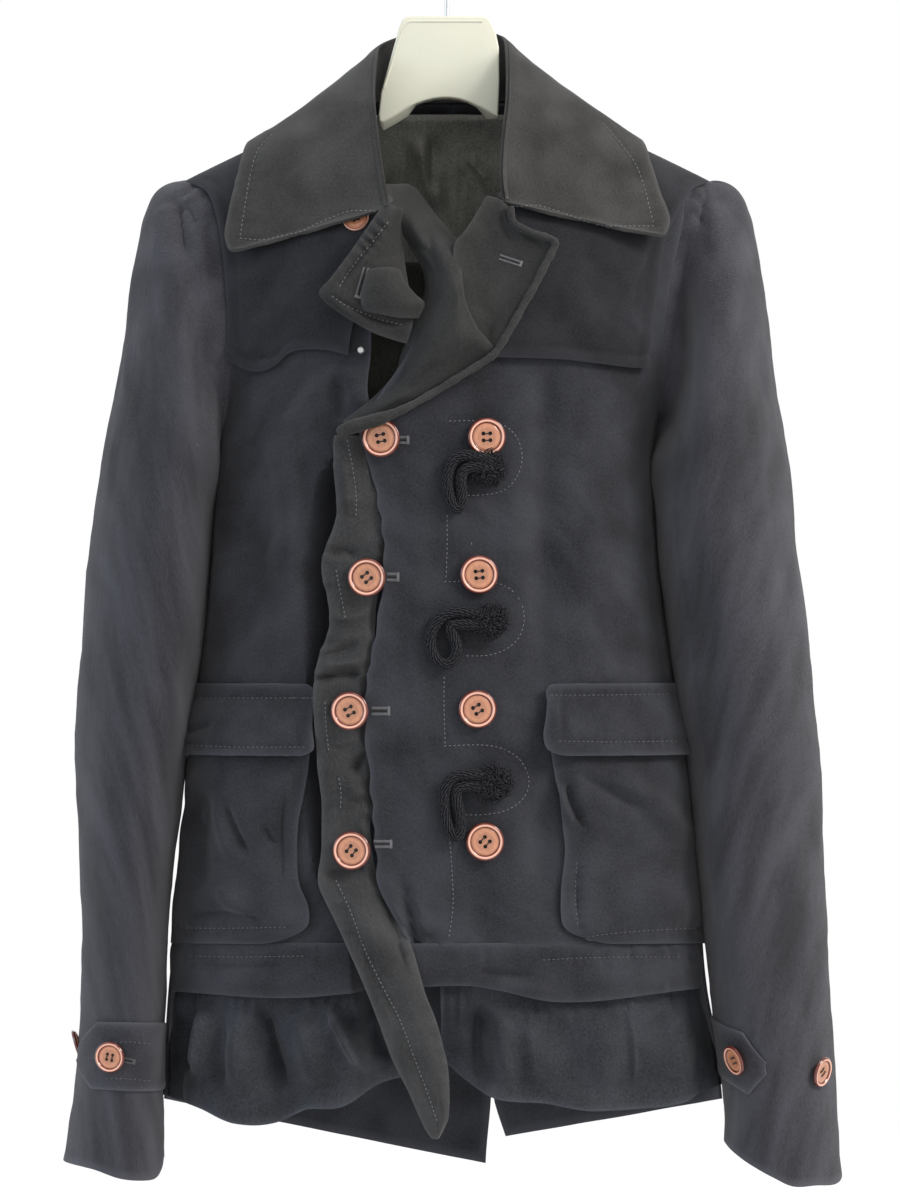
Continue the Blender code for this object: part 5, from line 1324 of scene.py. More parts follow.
def moulded(name, colour):
    """Off-white moulded plastic with a faint orange-peel skin, yellowed a little and scuffed."""
    finish = Finish(name, specular_ior_level=0.45, subsurface_weight=0.05)
    at = finish.object_place()
    slow = finish.noise(at, 14, 3.0)
    peel = finish.noise(at, 900, 2.0)
    scuff = finish.noise(finish.stretch(at, (1, 1, 0.2), 0.5), 120, 4.0, 0.7).ramp(0.62, 0.72)
    skin = finish.mix(slow, shade(colour, 0.94), shade(colour, 1.05))
    dirt = finish.mix(scuff * 0.14, skin, shade(colour, 0.7))
    rough = 0.34 + peel * 0.12 + scuff * 0.15
    return finish.paint(base_color=dirt, roughness=rough, normal=finish.bump(peel, 0.0001, 0.25))


def wire_steel(name, colour):
    """Drawn steel wire: bright, with fine lines along it and dull patches."""
    finish = Finish(name, metallic=1.0)
    at = finish.object_place()
    line = finish.noise(finish.stretch(at, (1, 1, 0.05)), 2400, 2.0)
    dull = finish.noise(at, 120, 3.0)
    tone = finish.mix(dull, shade(colour, 0.75), shade(colour, 1.15))
    return finish.paint(base_color=tone, roughness=0.2 + dull * 0.25, normal=finish.bump(line, 0.00005, 0.4))


FINISHES = {}


def make_finishes():
    """Builds each finish once, from the colours in the panel."""
    c, s = bpy.context.scene.coat_colours, sizes()
    thread = s.thread_gap
    FINISHES.update(
        wool=woollen("navy wool", c.wool, thread, 0.5, 0.12),
        # The front yokes are painted darker than the body's wool, as painted shade.
        yoke=woollen("yoke wool", c.yoke, thread, 0.4, 0.08),
        # The sleeves are painted lighter than the body's wool, as painted light.
        sleeve=woollen("sleeve wool", c.sleeve, thread, 0.4, 0.14),
        collar=woollen("collar wool", c.collar, thread * 0.9, 0.3, 0.1),
        peplum=plain_woven("peplum cloth", c.peplum, thread * 0.7, 0.85, 0.1),
        facing=plain_woven("facing satin", c.facing, thread * 0.5, 0.7, 0.1, 0.3),
        lapel=plain_woven("lapel satin", c.lapel, thread * 0.5, 0.7, 0.1, 0.3),
        # Painted shade: the lining's satin darkened to nearly black for the sheet inside the opening.
        inside=plain_woven("painted shade satin", shade(c.lining, 0.16), thread * 0.5, 0.8, 0.0, 0.2),
        lining=plain_woven("lining satin", c.lining, thread * 0.4, 0.34, 0.1, 0.6),
        rope=corded("loop cord", c.rope),
        thread=thread_like("topstitch thread", c.thread),
        quiet_thread=thread_like("quiet thread", shade(c.thread, 0.55)),
        dark_thread=thread_like("button thread", c.rope),
        button=turned_button("front button", c.button, c.button_rim, s.button_radius),
        cuff_button=turned_button("cuff button", c.button, c.button_rim, s.cuff_button_radius),
        plastic=moulded("hanger plastic", c.plastic),
        steel=wire_steel("hook steel", (0.6, 0.6, 0.6)),
    )


# ---- the body ----


def over_lift(x, z):
    """The lapped front rises over the one below it."""
    return LAP_RISE * (1 - ease(x, -50, 70)) * ease(-z, 200, 330)


def under_lift(x, z):
    """The lower front folds in sharply under the lapped one."""
    fold_x = track(UNDER_FOLD, z)[0] + track(FOLD_SHIFT, z)[0]
    return -DEEP_FOLD * ease(x, fold_x, fold_x + FOLD_IN) * ease(-z, 280, 345)


def armhole_reach(z, side):
    """How far the armhole's seam stands from the middle of the body."""
    return track(ARMHOLE, z)[0] + np.where(np.asarray(side) > 0, track(ARMHOLE_EASE, z)[0], 0)


def side_edge(v, side, hem_z):
    """The armhole and then the side seam, from the shoulder's tip to the hem."""
    z = blend(SHOULDER_TIP_Z, hem_z, v)
    half_width, middle = torso(z)[:2]
    reach = np.where(z > UNDERARM_Z, armhole_reach(z, side), half_width)
    return middle + side * (reach - 0.5 * ease(z, UNDERARM_Z, UNDERARM_Z + 30)), z


def covered(x, z):
    """1 where a yoke, pocket or flap lies over the front, 0 elsewhere."""
    under_yoke = ease(z, -312, -296)
    pocket = ease(-z, 505, 522) * (1 - ease(-z, 680, 690))
    return np.maximum(under_yoke, pocket * np.maximum(ease(x, 70, 84), ease(-x, 96, 108)))


def rolled_edge(gap, rise=1.3, soft=3.2, dip=0.7):
    """The roll of cloth along a free edge, and the sewn dip behind it, at a gap from the edge."""
    return rise * bell(gap, 3, soft) - dip * bell(gap, 8, 2.2)


def front_point(side, edge, lift, names, seed, u, v):
    v = shoulder_spacing(v)
    side_x, side_z = side_edge(v, side, BODY_HEM_Z - 4)
    edge_x, edge_z = track(edge, v)
    if side == RIGHT:
        waved = np.sin(edge_z * 0.27 + 1.9 * np.sin(edge_z * 0.061)) * ease(-edge_z, 350, 400)
        edge_x = edge_x + 0.8 * waved + track(EDGE_SHIFT, edge_z)[0]
    else:
        edge_x = edge_x + track(UNDER_EDGE_SHIFT, edge_z)[0]
    share = side_spacing(u)
    x, z = blend(side_x, edge_x, share), blend(side_z, edge_z, share)
    sag = shoulder_z(x) - blend(SHOULDER_TIP_Z, NECK_POINT_Z, share)
    z = np.minimum(z + sag * (1 - v) ** 3, shoulder_z(x))
    flat = ease(shoulder_z(x) - z, 0, 20) * ease(share, 0, 0.05) * (1 - 0.8 * covered(x, z))
    return on_body(x, z, FRONT, lift(x, z) + relief(names, x, z, seed) * flat)


def back_point(side, seed, u, v):
    v = shoulder_spacing(v)
    side_x, side_z = side_edge(v, side, BACK_FOOT_Z)
    seam_z = blend(SHOULDER_TOP, VENT_FOOT_Z[side], v)
    seam_x = blend(*BACK_SEAM_X, ease(-seam_z, 300, 800))
    seam_x = seam_x + side * (0.2 + VENT_SPREAD[side] * ease(-seam_z, 790, 850))
    share = side_spacing(u)
    x, z = blend(side_x, seam_x, share), blend(side_z, seam_z, share)
    sag = neck_z(x) - blend(SHOULDER_TIP_Z, SHOULDER_TOP, share)
    z = np.minimum(z + sag * (1 - v) ** 3, neck_z(x))
    flat = ease(neck_z(x) - z, 0, 20) * ease(share, 0, 0.05)
    seam = -1.1 * bell((1 - share) * BACK_HALF, 0, 3.0) * (1 - ease(-z, 780, 800))
    return on_body(x, z, BACK, (relief(("back",), x, z, seed) + seam) * flat)


def yoke_point(side, foot, edge, names, seed, u, v):
    v = shoulder_spacing(v)
    z_side = blend(SHOULDER_TIP_Z, track(foot, SHOULDER_TIP)[0], v)
    back = track(YOKE_BACK, z_side)[0] if side == RIGHT else 0
    side_x = torso(z_side)[1] + side * (armhole_reach(z_side, side) - 0.5 - back)
    inner = [(z, x) for _, x, z in edge]
    near_x = track(inner, blend(SHOULDER_TOP, track(foot, 0)[0], v))[0] + side * YOKE_INSET
    x = blend(side_x, near_x, side_spacing(u))
    foot_z = track(foot, np.abs(x))[0]
    z = blend(shoulder_z(x), foot_z, v)
    lift = YOKE_LIFT + (over_lift(x, z) + 0.4 if side == RIGHT else 0)
    rolled = rolled_edge(np.abs(z - foot_z)) + rolled_edge(np.abs(x - side_x), 1.1, 3.0, 0.6)
    flat = ease(shoulder_z(x) - z, 0, 15)
    return on_body(x, z, FRONT, lift + (relief(names, x, z, seed) + rolled) * flat)


def yoke_back_point(u, v):
    v = shoulder_spacing(v)
    side = np.where(u > 0.5, 1, -1)
    z_side = blend(SHOULDER_TIP_Z, BACK_YOKE_FOOT_Z, v)
    reach = torso(z_side)[1] + side * (armhole_reach(z_side, side) - 0.5)
    x = reach * np.sin(np.abs(u - 0.5) * pi)
    top = neck_z(x) - NECK_DROP * (1 - ease(np.abs(x), 50, 85))
    z = blend(top, BACK_YOKE_FOOT_Z, v)
    flat = ease(neck_z(x) - z, 0, 15)
    rolled = rolled_edge(z - BACK_YOKE_FOOT_Z, 1.0)
    return on_body(x, z, BACK, YOKE_LIFT + 0.5 + (uneven(x, z, 9) + rolled) * flat)


def band_point(start, end, lift, names, seed, u, v):
    """A turned-up band under a front's hem, along seen x from the side seam to the opening."""
    x = blend(start, end, side_spacing(u))
    z = blend(BODY_HEM_Z + 2.5, track(BAND_FOOT, x)[0], v)
    belly = 2.6 * np.sin(np.clip(v * 1.02, 0, 1) * pi) ** 0.7
    return on_body(x, z, FRONT, lift(x, z) + 0.5 + belly + relief(names, x, z, seed))


def peplum_point(waves, lift, names, seed, u, v):
    """The ruffle: gathered under the hem band, and free to wave and flare below it."""
    side_x, near_x = sorted((waves[0][0], waves[-1][0]), key=abs, reverse=True)
    x = blend(side_x, near_x, blend(u, side_spacing(u), 0.6))
    z = blend(PEPLUM_TOP_Z, track(waves, x)[0], v)
    half_width, middle = torso(z)[:2]
    flared = half_width - 1 + PEPLUM_FLARE[np.sign(side_x)] * ease(-z, 735, 800)
    x = middle + (x - middle) * flared / np.abs(side_x - middle)
    free = ease(-z, -BAND_FOOT_Z - 3, 775)
    inset = HEM + 2.4 * LAY * (1 - 0.85 * (1 - ease(u, 0, 0.12)))
    base = lift(x, np.full_like(x, BAND_FOOT_Z)) - inset + (track(waves, x)[1] + 3) * free
    gather = 1.1 * np.sin(x * 0.62 + 2.2 * np.sin(x * 0.09)) * (1 - ease(-z, -BAND_FOOT_Z, 770))
    gather = gather * (0.6 + 0.4 * np.sin(x * 0.13))
    turned_up = 1.1 * ease(v, 0.84, 0.89)
    return on_body(x, z, FRONT, base + gather + turned_up + relief(names, x, z, seed) * ease(v, 0.05, 0.2))


def sewn_on(side, edge, z, u):
    """The seen x of a pocket or a flap, from the side seam to its edge."""
    half_width, middle = torso(z)[:2]
    return blend(middle + side * (half_width - 1.5), track(edge, z)[0], side_spacing(u))


def pocket_point(side, edge, names, seed, u, v):
    u, v = rounded(u, v, POCKET_SIZE, 14, ((1, 1),))
    z = blend(edge[0][0], edge[-1][0], v)
    x = sewn_on(side, edge, z, u)
    belly = 4.5 * ease(u, 0, 0.5) * ease(1 - u, 0, 0.12) * np.minimum(1, 2.2 * np.sin(v * pi))
    return on_body(x, z, FRONT, LAY + WOOL + belly + relief(names, x, z, seed))


def flap_point(side, edge, names, seed, u, v):
    u, v = rounded(u, v, FLAP_SIZE, 6, ((1, 1), (1, 0)))
    z = blend(FLAP_TOP_Z, FLAP_FOOT_Z, v)
    x = sewn_on(side, edge, z, u)
    rim = 0.8 * bell((1 - v) * FLAP_SIZE[1], 0, 5) + 0.7 * bell(v * FLAP_SIZE[1], 0, 5)
    stands = 8.5 * ease(v, 0, 1.0) * ease(u, -0.15, 0.25)
    return on_body(x, z, FRONT, LAY + WOOL + stands + rim + relief(names, x, z, seed))


def strip_point(u, v):
    """The lapped front's edge strip. Its right side dives under the front."""
    z = blend(STRIP_LIFT[0][0], STRIP_LIFT[-1][0], v)
    x = blend(track(STRIP_LEFT, z)[0], track(STRIP_RIGHT, z)[0], u)
    height = blend(*track(STRIP_LIFT, z), ease(u, 0, 0.75))
    rolled = 1.6 * np.sin(np.clip(u, 0, 1) * pi) ** 0.8 - 2.4 * ease(u, 0.82, 1.0) * ease(-z, 380, 420)
    tucked = 3.6 * ease(u, 0.62, 0.9) * ease(-z, 352, 368) * ease(z, -402, -384)
    notched = 0.7 * np.sin(z * 0.41 + 2 * np.sin(z * 0.073)) * ease(u, 0.7, 0.95)
    waved = relief(("edge_strip",), x, z, 5, 1.9)
    return on_body(x, z, FRONT, height + rolled - tucked + notched + waved)


def lining_point(u, v):
    x = blend(-LINING_REACH, LINING_REACH, u)
    z = blend(neck_z(x) - NECK_DROP, LINING_FOOT_Z, shoulder_spacing(v))
    height = np.minimum(relief(("lining_back",), x, z, 3, 1.5) - 2.8, 0.8)
    return on_body(x, z, BACK, -WOOL - 1.6 * LAY + height * ease(v, 0, 0.06))


def formed_point(rows, name, seed, u, v):
    """A piece through four stations across each row: x, z and depth of each, eased from one to the next."""
    table = np.stack(track(rows, v), -1).reshape(len(v), 4, 3)
    at = np.clip(u * 3, 0, 3 - 1e-9)
    low = at.astype(int)
    pick = np.arange(len(u))
    before, start, end, after = (table[pick, np.clip(low + step, 0, 3)] for step in (-1, 0, 1, 2))
    spots = curve(start, end, (end - before) / 2, (after - start) / 2, (at - low)[..., None])
    x, z, depth = spots.T
    return place(x, depth - relief((name,), x, z, seed, 0.8), z)


def sleeve_spot(side, along, angle):
    """Along runs over the sleeve's rings from 0 to 1; angle 0 is the outer edge and pi/2 the front."""
    last = len(SLEEVES[side]) - 1
    rings = [(index, *row) for index, row in enumerate(SLEEVES[side])]
    outer_x, outer_z, inner_x, inner_z, depth, middle_y, share = track(rings, along * last)
    outward = (1 + np.cos(angle)) / 2
    x = (outer_x + inner_x) / 2 + np.cos(angle) * (outer_x - inner_x) / 2
    z = (outer_z + inner_z) / 2 + np.cos(angle) * (outer_z - inner_z) / 2
    y = middle_y - depth * np.sin(angle)
    x = x - side * SLEEVE_HUG * np.sin(angle) ** 2 * share
    seam_z = blend(SHOULDER_TIP_Z, UNDERARM_Z, 1 - outward)
    seam_x = torso(seam_z)[1] + side * armhole_reach(seam_z, side)
    faces = (body_y(seam_x, seam_z, face) for face in (FRONT, BACK))
    seam_y = np.where(np.sin(angle) > 0, *faces)
    x = x - side * track(SLEEVE_EASE, z)[0 if side < 0 else 1] * outward
    if side == RIGHT:
        x = x + track(SLEEVE_CLEAR, z)[0] * (1 - outward)
    z = z - track(CUFF_MOUTH[side], np.degrees(angle) % 360)[0] * ease(along, 0.92, 1)
    tuck = 1 - ease(along * SLEEVE_LENGTH, 0, 8)
    out = 1.2 + 9 * along * last * outward - 8 * tuck
    x = np.where(share < 1, blend(seam_x + side * out, x, share), x)
    y = np.where(share < 1, blend(seam_y * (1 - 0.08 * tuck), y, share), y)
    z = np.where(share < 1, blend(seam_z + 0.3, z, share), z)
    return place(x, y, z)


def sleeve_out(side, along, angle):
    """The sleeve's outward normal."""
    around = sleeve_spot(side, along, angle + 0.03) - sleeve_spot(side, along, angle)
    along = np.minimum(along, 0.99)
    down = sleeve_spot(side, along + 0.01, angle) - sleeve_spot(side, along, angle)
    return unit(np.cross(around, down)) * side


def sleeve_point(side, names, seed, u, v):
    """The sleeve's cloth: gathered at its head, seamed twice along its back, and hemmed at the cuff."""
    angle = u * 2 * pi
    here = sleeve_spot(side, v, angle)
    x, z = seen(here)
    front = ease(np.sin(angle), -0.1, 0.15)
    height = (folds(names, x, z) + puckered(names, x, z) + sewn(names, x, z)) * front
    height = height + uneven(x + here[..., 1], z, seed, 0.9)
    seams = sum(bell((angle - pi * turn) * SLEEVE_GIRTH, 0, 2.5) for turn in SLEEVE_SEAMS)
    to_foot = (1 - v) * SLEEVE_LENGTH
    hem = 0.5 * bell(to_foot, 0, 4) - 0.4 * bell(to_foot, 9, 2)
    gathers = np.sin(angle * 34 + 2 * np.sin(angle * 5)) * (1 + np.cos(angle)) / 2
    head = bell(v * SLEEVE_LENGTH, 0, 14) * 0.9 * gathers
    height = (height - seams * 0.8) * ease(v, 0, 0.02) + hem + head
    return here + sleeve_out(side, v, angle) * height[..., None]


def tab_point(side, u, v):
    """A cuff tab: square at its root, and brought to a point at its tip."""
    (top, foot), (root, tip), hang = TABS[side]
    u, v = rounded(u, v, TAB_SIZE, 5, ((0, 0), (0, 1)))
    angle = np.radians(blend(root, tip, u))
    narrow = np.clip((u - 0.76) / 0.24, 0, 1) * 0.4
    along = blend(top, foot, narrow + v * (1 - 2 * narrow)) + hang * u
    rim = 0.5 * bell(v, 0.07, 0.07) + 0.5 * bell(v, 0.93, 0.07)
    lift = LAY + WOOL + rim + 0.4 * np.sin(u * 9)
    return sleeve_spot(side, along, angle) + sleeve_out(side, along, angle) * lift[..., None]


def collar_spot(u, v):
    """A place on the collar: u runs round the neck, v from the neck seam over the fold to the outer edge."""
    values = track(COLLAR_LINE, 2 * u - 1)
    neck, crest, edge = (np.stack(values[i : i + 3], -1) for i in (0, 3, 6))
    across = unit(edge - neck)
    up = unit(crest - (neck + edge) / 2)
    near = crest - across * FOLD_HALF - up * FOLD_DROP
    far = crest + across * FOLD_HALF - up * FOLD_DROP
    v = v[..., None]
    share = np.clip((v - FALL_START) / (1 - FALL_START), 0, 1)
    turn = (np.clip((v - STAND_END) / (FALL_START - STAND_END), 0, 1) * 2 - 1) * pi / 2
    fold = crest + across * FOLD_HALF * np.sin(turn) - up * FOLD_DROP * (1 - np.cos(turn))
    spot = np.where(v < STAND_END, blend(neck, near, v / STAND_END), fold)
    spot = np.where(v > FALL_START, blend(far, edge, share) + up * COLLAR_SPRING * np.sin(share * pi), spot)
    return place(*np.moveaxis(spot, -1, 0))


def collar_out(u, v):
    """The direction square to the collar, before it is turned to face outwards."""
    low_u, low_v = np.clip(u, 0, 0.995), np.clip(v, 0, 0.98)
    step = collar_spot(low_u + 0.005, v) - collar_spot(low_u, v)
    rise = collar_spot(u, low_v + 0.02) - collar_spot(u, low_v)
    return np.cross(step, rise)


def collar_point(u, v):
    u, v = rounded(u, v, COLLAR_SIZE, 9, ((0, 1), (1, 1)))
    here = collar_spot(u, v)
    outward = np.sign(collar_out(np.array([0.5]), np.array([0.75]))[0, 2])
    x, z = seen(here)
    fall = ease(v, 0.5, 0.58)
    front = ease(-here[..., 1], -20, 10)
    rim = 0.7 * bell((1 - v) * 80, 0, 4) + 0.7 * bell(np.minimum(u, 1 - u) * COLLAR_SIZE[0], 0, 4)
    soft = relief(("collar",), x, z, 7, 0.9) * front + uneven(x, here[..., 1], 8, 0.9) * (1 - front)
    return here + unit(collar_out(u, v)) * ((soft + rim) * fall)[..., None] * outward


# ---- hard parts and cords ----


def front_normal(x, z):
    return unit(on_body(x, z, FRONT, 5.0) - on_body(x, z, FRONT))


def button_blank(name, radius):
    """A four-hole button: a turned profile with a raised rim, a groove and a dished face, then drilled."""
    deselect()
    bpy.ops.mesh.primitive_circle_add(vertices=3, radius=0.001)
    made = bpy.context.object
    made.name = made.data.name = name
    shape = bmesh.new()
    spots = [shape.verts.new((out * radius * MM, 0, up * BUTTON_THICKNESS * MM)) for out, up in BUTTON_PROFILE]
    for pair in zip(spots, spots[1:]):
        shape.edges.new(pair)
    shape.to_mesh(made.data)
    shape.free()
    edit_all(
        partial(bpy.ops.mesh.spin, steps=56, angle=2 * pi, center=(0, 0, 0), axis=(0, 0, 1)),
        partial(bpy.ops.mesh.remove_doubles, threshold=0.00001),
        partial(bpy.ops.mesh.normals_make_consistent, inside=False),
    )
    reach = hole_reach(radius) * 1.414 * MM
    for turn in np.arange(0.25, 2, 0.5) * pi:
        spot = (reach * cos(turn), reach * sin(turn), 0)
        deselect()
        wide = radius * HOLE_SHARE * MM
        bpy.ops.mesh.primitive_cylinder_add(vertices=18, radius=wide, depth=20 * MM, location=spot)
        drill = bpy.context.object
        apply_modifier(made, "hole", "BOOLEAN", object=drill, operation="DIFFERENCE", solver="EXACT")
        bpy.data.objects.remove(drill, do_unlink=True)
    set_uv(made.data, get_spots(made.data)[:, :2])
    return made


def hole_reach(radius):
    """How far a button's holes are from its two middle lines, in mm."""
    return sizes().hole_spacing / 2 * radius / BUTTON_RADIUS


def button_thread(place_of, radius):
    """The two dark threads that join a button's holes in pairs, at the button's place."""
    reach = hole_reach(radius)
    half = ((reach * 0.6, 1.72), (reach, 1.5), (reach + 0.3, 0.4))
    ends = [(-x, z) for x, z in reversed(half)] + list(half)
    parts = []
    for y in (-reach, reach):
        route = [place_of @ (Vector((x, y, z * BUTTON_THICKNESS / 2.2)) * MM) / MM for x, z in ends]
        parts.append(swept(route, BUTTON_THREAD, 8))
    return parts


def frames(route):
    """Two directions square to a route at each of its points, which turn no more than the route does."""
    tangents = unit(np.gradient(route, axis=0))
    normal = np.cross(tangents[0], (0, 1, 0.1))
    normals = []
    for tangent in tangents:
        normal = unit(normal - tangent * np.dot(normal, tangent))
        normals.append(normal)
    return np.stack((normals, np.cross(tangents, normals)), 1)


def swept(route, radius, sides):
    """A round tube along a route of true points in mm, as (points, faces, uvs)."""
    route = np.array(route, float)
    angles = np.linspace(0, 2 * pi, sides, endpoint=False)
    radii = np.broadcast_to(radius, len(route))[:, None]
    circle = np.stack((np.cos(angles), np.sin(angles)), -1)
    spots = route[:, None] + circle @ frames(route) * radii[..., None]
    uvs = np.stack(np.broadcast_arrays(angles * radii, travelled(route)[:, None]), -1)
    last = (len(route) - 1) * sides
    faces = [
        (ring + side, ring + (side + 1) % sides, ring + sides + (side + 1) % sides, ring + sides + side)
        for ring in range(0, last, sides)
        for side in range(sides)
    ]
    faces += [tuple(range(sides - 1, -1, -1)), tuple(range(last, last + sides))]
    return spots.reshape(-1, 3), faces, uvs.reshape(-1, 2)


def joined(name, parts):
    """One mesh from several swept tubes."""
    faces, base = [], 0
    for spots, part_faces, _ in parts:
        faces += [tuple(base + corner for corner in face) for face in part_faces]
        base += len(spots)
    mesh = bpy.data.meshes.new(name)
    mesh.from_pydata(np.concatenate([spots for spots, _, _ in parts]) * MM, [], faces)
    set_uv(mesh, np.concatenate([uvs for _, _, uvs in parts]) * MM)
    made = bpy.data.objects.new(name, mesh)
    bpy.context.scene.collection.objects.link(made)
    return made


def smooth_route(points, count):
    """An evenly spaced route through seen points, as high over the coat's front as the loops lie."""
    spots = on_body(*through(points, count * 4), FRONT, LOOP_LIFT)
    run = travelled(spots)
    even = np.linspace(0, run[-1], count)
    return np.stack([np.interp(even, run, spots[:, axis]) for axis in range(3)], -1), run[-1]


def twisted(route, length, radius, strands, pitch, sides):
    """Strands that wind round a route."""
    phase = np.linspace(0, length / pitch * 2 * pi, len(route))
    strand_radius = radius * STRAND_SHARE
    normals = frames(route)
    parts = []
    for index in range(strands):
        turn = (phase + index * 2 * pi / strands)[:, None]
        offset = normals[:, 0] * np.cos(turn) + normals[:, 1] * np.sin(turn)
        parts.append(swept(route + offset * (radius - strand_radius), strand_radius, sides))
    return parts


def frayed(x, z, lift, reach, seed):
    """The dark frayed root of a loop: a short thick end of cord, and fibres that curl out of it all round."""
    pick = np.random.default_rng(seed + 3)
    ends = np.linspace(-1, 1, 20)
    core = on_body(x + ends * reach, z - ends * reach * 0.25, FRONT, np.full(20, lift))
    parts = [swept(core, reach * 0.82 * np.sqrt(np.clip(1 - ends**2, 0.01, 1)), 20)]
    at = np.linspace(0, 1, 5)
    for _ in range(FIBRES):
        start = reach * 0.95 * pick.random() ** 0.5
        turn = pick.random() * 2 * pi
        bend = (pick.random() - 0.5) * 1.8
        surface = 0.8 * reach * np.sqrt(1 - (start / reach) ** 2)
        far = start + 3 + 3.5 * pick.random()
        out, round_by = start + (far - start) * at, turn + bend * at
        height = lift + surface + (1 + 2 * pick.random()) * np.sin(at * 2.6) - surface * 0.6 * at**2
        route = on_body(x + out * np.cos(round_by), z + out * np.sin(round_by), FRONT, height)
        parts.append(swept(route, np.array(FIBRE_RADII), 4))
    return parts


def moulded_plate():
    """The hanger's plate: its outline drawn on a circle's points, given depth, and rounded all along."""
    face_y = PLATE_Y - PLATE_HALF
    spots = place(*np.insert(np.array(PLATE_FRONT, float), 1, face_y, axis=1).T)
    deselect()
    bpy.ops.mesh.primitive_circle_add(vertices=len(spots), radius=0.03, fill_type="NGON")
    made = bpy.context.object
    made.name = made.data.name = "moulded_plate"
    set_spots(made.data, spots * MM)
    depth = {"value": (0, 2 * PLATE_HALF * MM, 0)}
    edit_all(partial(bpy.ops.mesh.extrude_region_move, TRANSFORM_OT_translate=depth))
    spots = get_spots(made.data) / MM
    first, last = (place(PLATE_FRONT[at][0], face_y, 0)[0] for at in ARCH_POINTS)
    x, y, z = spots.T
    arch = (y > PLATE_Y) & (x < first + 0.1) & (x > last - 0.1) & (z < ARCH_TOP_Z)
    spots[arch, 2] -= ARCH_DROP
    set_spots(made.data, spots * MM)
    edit_all(partial(bpy.ops.mesh.normals_make_consistent, inside=False))
    soft = {"width": 1.3 * MM, "segments": 4, "angle_limit": radians(40)}
    apply_modifier(made, "rim", "BEVEL", limit_method="ANGLE", **soft)
    return made


# ---- sewing ----


class Cloth:
    """A finished cloth that sewing is laid on, as it is seen from in front."""

    def __init__(self, piece):
        corners = [tuple(v.co) for v in piece.data.vertices]
        self.tree = BVHTree.FromPolygons(corners, [tuple(p.vertices) for p in piece.data.polygons])

    def spot(self, x, z, rise):
        """The point on the cloth's face seen at x and z, or None."""
        target = Vector(place(x, FRONT_PLANE, z)) * MM
        hit, normal, _, _ = self.tree.ray_cast(EYE, (target - EYE).normalized())
        if hit is None:
            return None
        return np.array(hit + normal * (-rise if normal.y > 0 else rise) * MM) / MM

    def thread(self, ends, radius, rise):
        """One stitch through three seen places, sunk at its two ends."""
        spots = [self.spot(x, z, rise) for x, z in ends]
        if any(spot is None for spot in spots):
            return []
        a, b, c = spots
        route = [a, blend(a, b, 0.3), b, blend(b, c, 0.7), c]
        return [swept(route, np.array([0.4, 0.87, 1, 0.87, 0.4]) * radius, 5)]

    def stitches(self, line):
        """Short raised threads along a smooth line through points."""
        line = np.array(line, float)
        run = travelled(line)
        rows = [(at, *spot) for at, spot in zip(run, line)]
        gap, long = sizes().stitch_gap, sizes().stitch_long
        parts = []
        for start in np.arange(0, run[-1] - long, gap):
            x, z = track(rows, start + np.array([0, 0.5, 1]) * long)
            parts += self.thread(zip(x, z), STITCH_RADIUS, STITCH_RISE)
        return parts

    def buttonhole(self, start, end, height):
        """Whipped threads round a slot with a bar at its outer end, and a dark thread along the slot that stands
        for the shade in the cut: painted shade.
        """
        start, end = np.array(start, float), np.array(end, float)
        run = end - start
        total = np.hypot(*run)
        side = np.array([-run[1], run[0]]) / total * height
        edges = []
        for at in np.arange(0, total, WHIP_GAP):
            foot = start + run * at / total
            for way in (-side, side):
                inner, outer = foot + way * 0.16, foot + way * 0.5
                edges += self.thread([inner, (inner + outer) / 2, outer], 0.3, 0.2)
        for step in (-0.6, 0, 0.6):
            bar = end + run / total * step
            edges += self.thread([bar - side * 0.55, bar, bar + side * 0.55], 0.34, 0.3)
        return edges, self.thread([start, (start + end) / 2, end], 0.45, 0.05)


# ---- settings ----


def number(text, about, default, low, high, **more):
    return FloatProperty(name=text, description=about, default=default, min=low, max=high, **more)


def tint(text, about, default):
    return FloatVectorProperty(
        name=text, description=about, default=default, size=3, subtype="COLOR", min=0, max=1
    )


class CoatSizes(bpy.types.PropertyGroup):
    button_radius: number("Front button", "Radius in mm", 12.8, 8, 16)
    cuff_button_radius: number("Cuff button", "Radius in mm", 10.5, 6, 14)
    hole_spacing: number("Hole spacing", "Between a button's holes, in mm", 4.5, 2, 6)
    rope_radius: number("Rope", "Radius of the twisted cord in mm", 4.0, 1, 5)
    stitch_gap: number("Stitch pitch", "From stitch to stitch in mm", 3.1, 1.5, 6)
    stitch_long: number("Stitch length", "Thread that shows, in mm", 1.6, 1, 5)
    thread_gap: number("Yarn", "Distance between the wool's twill ribs", 0.0013, 0.0004, 0.004, unit="LENGTH")
    fold_height: number("Folds", "How strong the folds are", 1.4, 0, 2, subtype="FACTOR")
    fine_cell: number("Fine mesh", "Mesh spacing on small pieces in mm", 1.5, 1, 8)
    broad_cell: number("Broad mesh", "Mesh spacing on large pieces in mm", 3.0, 1, 9)


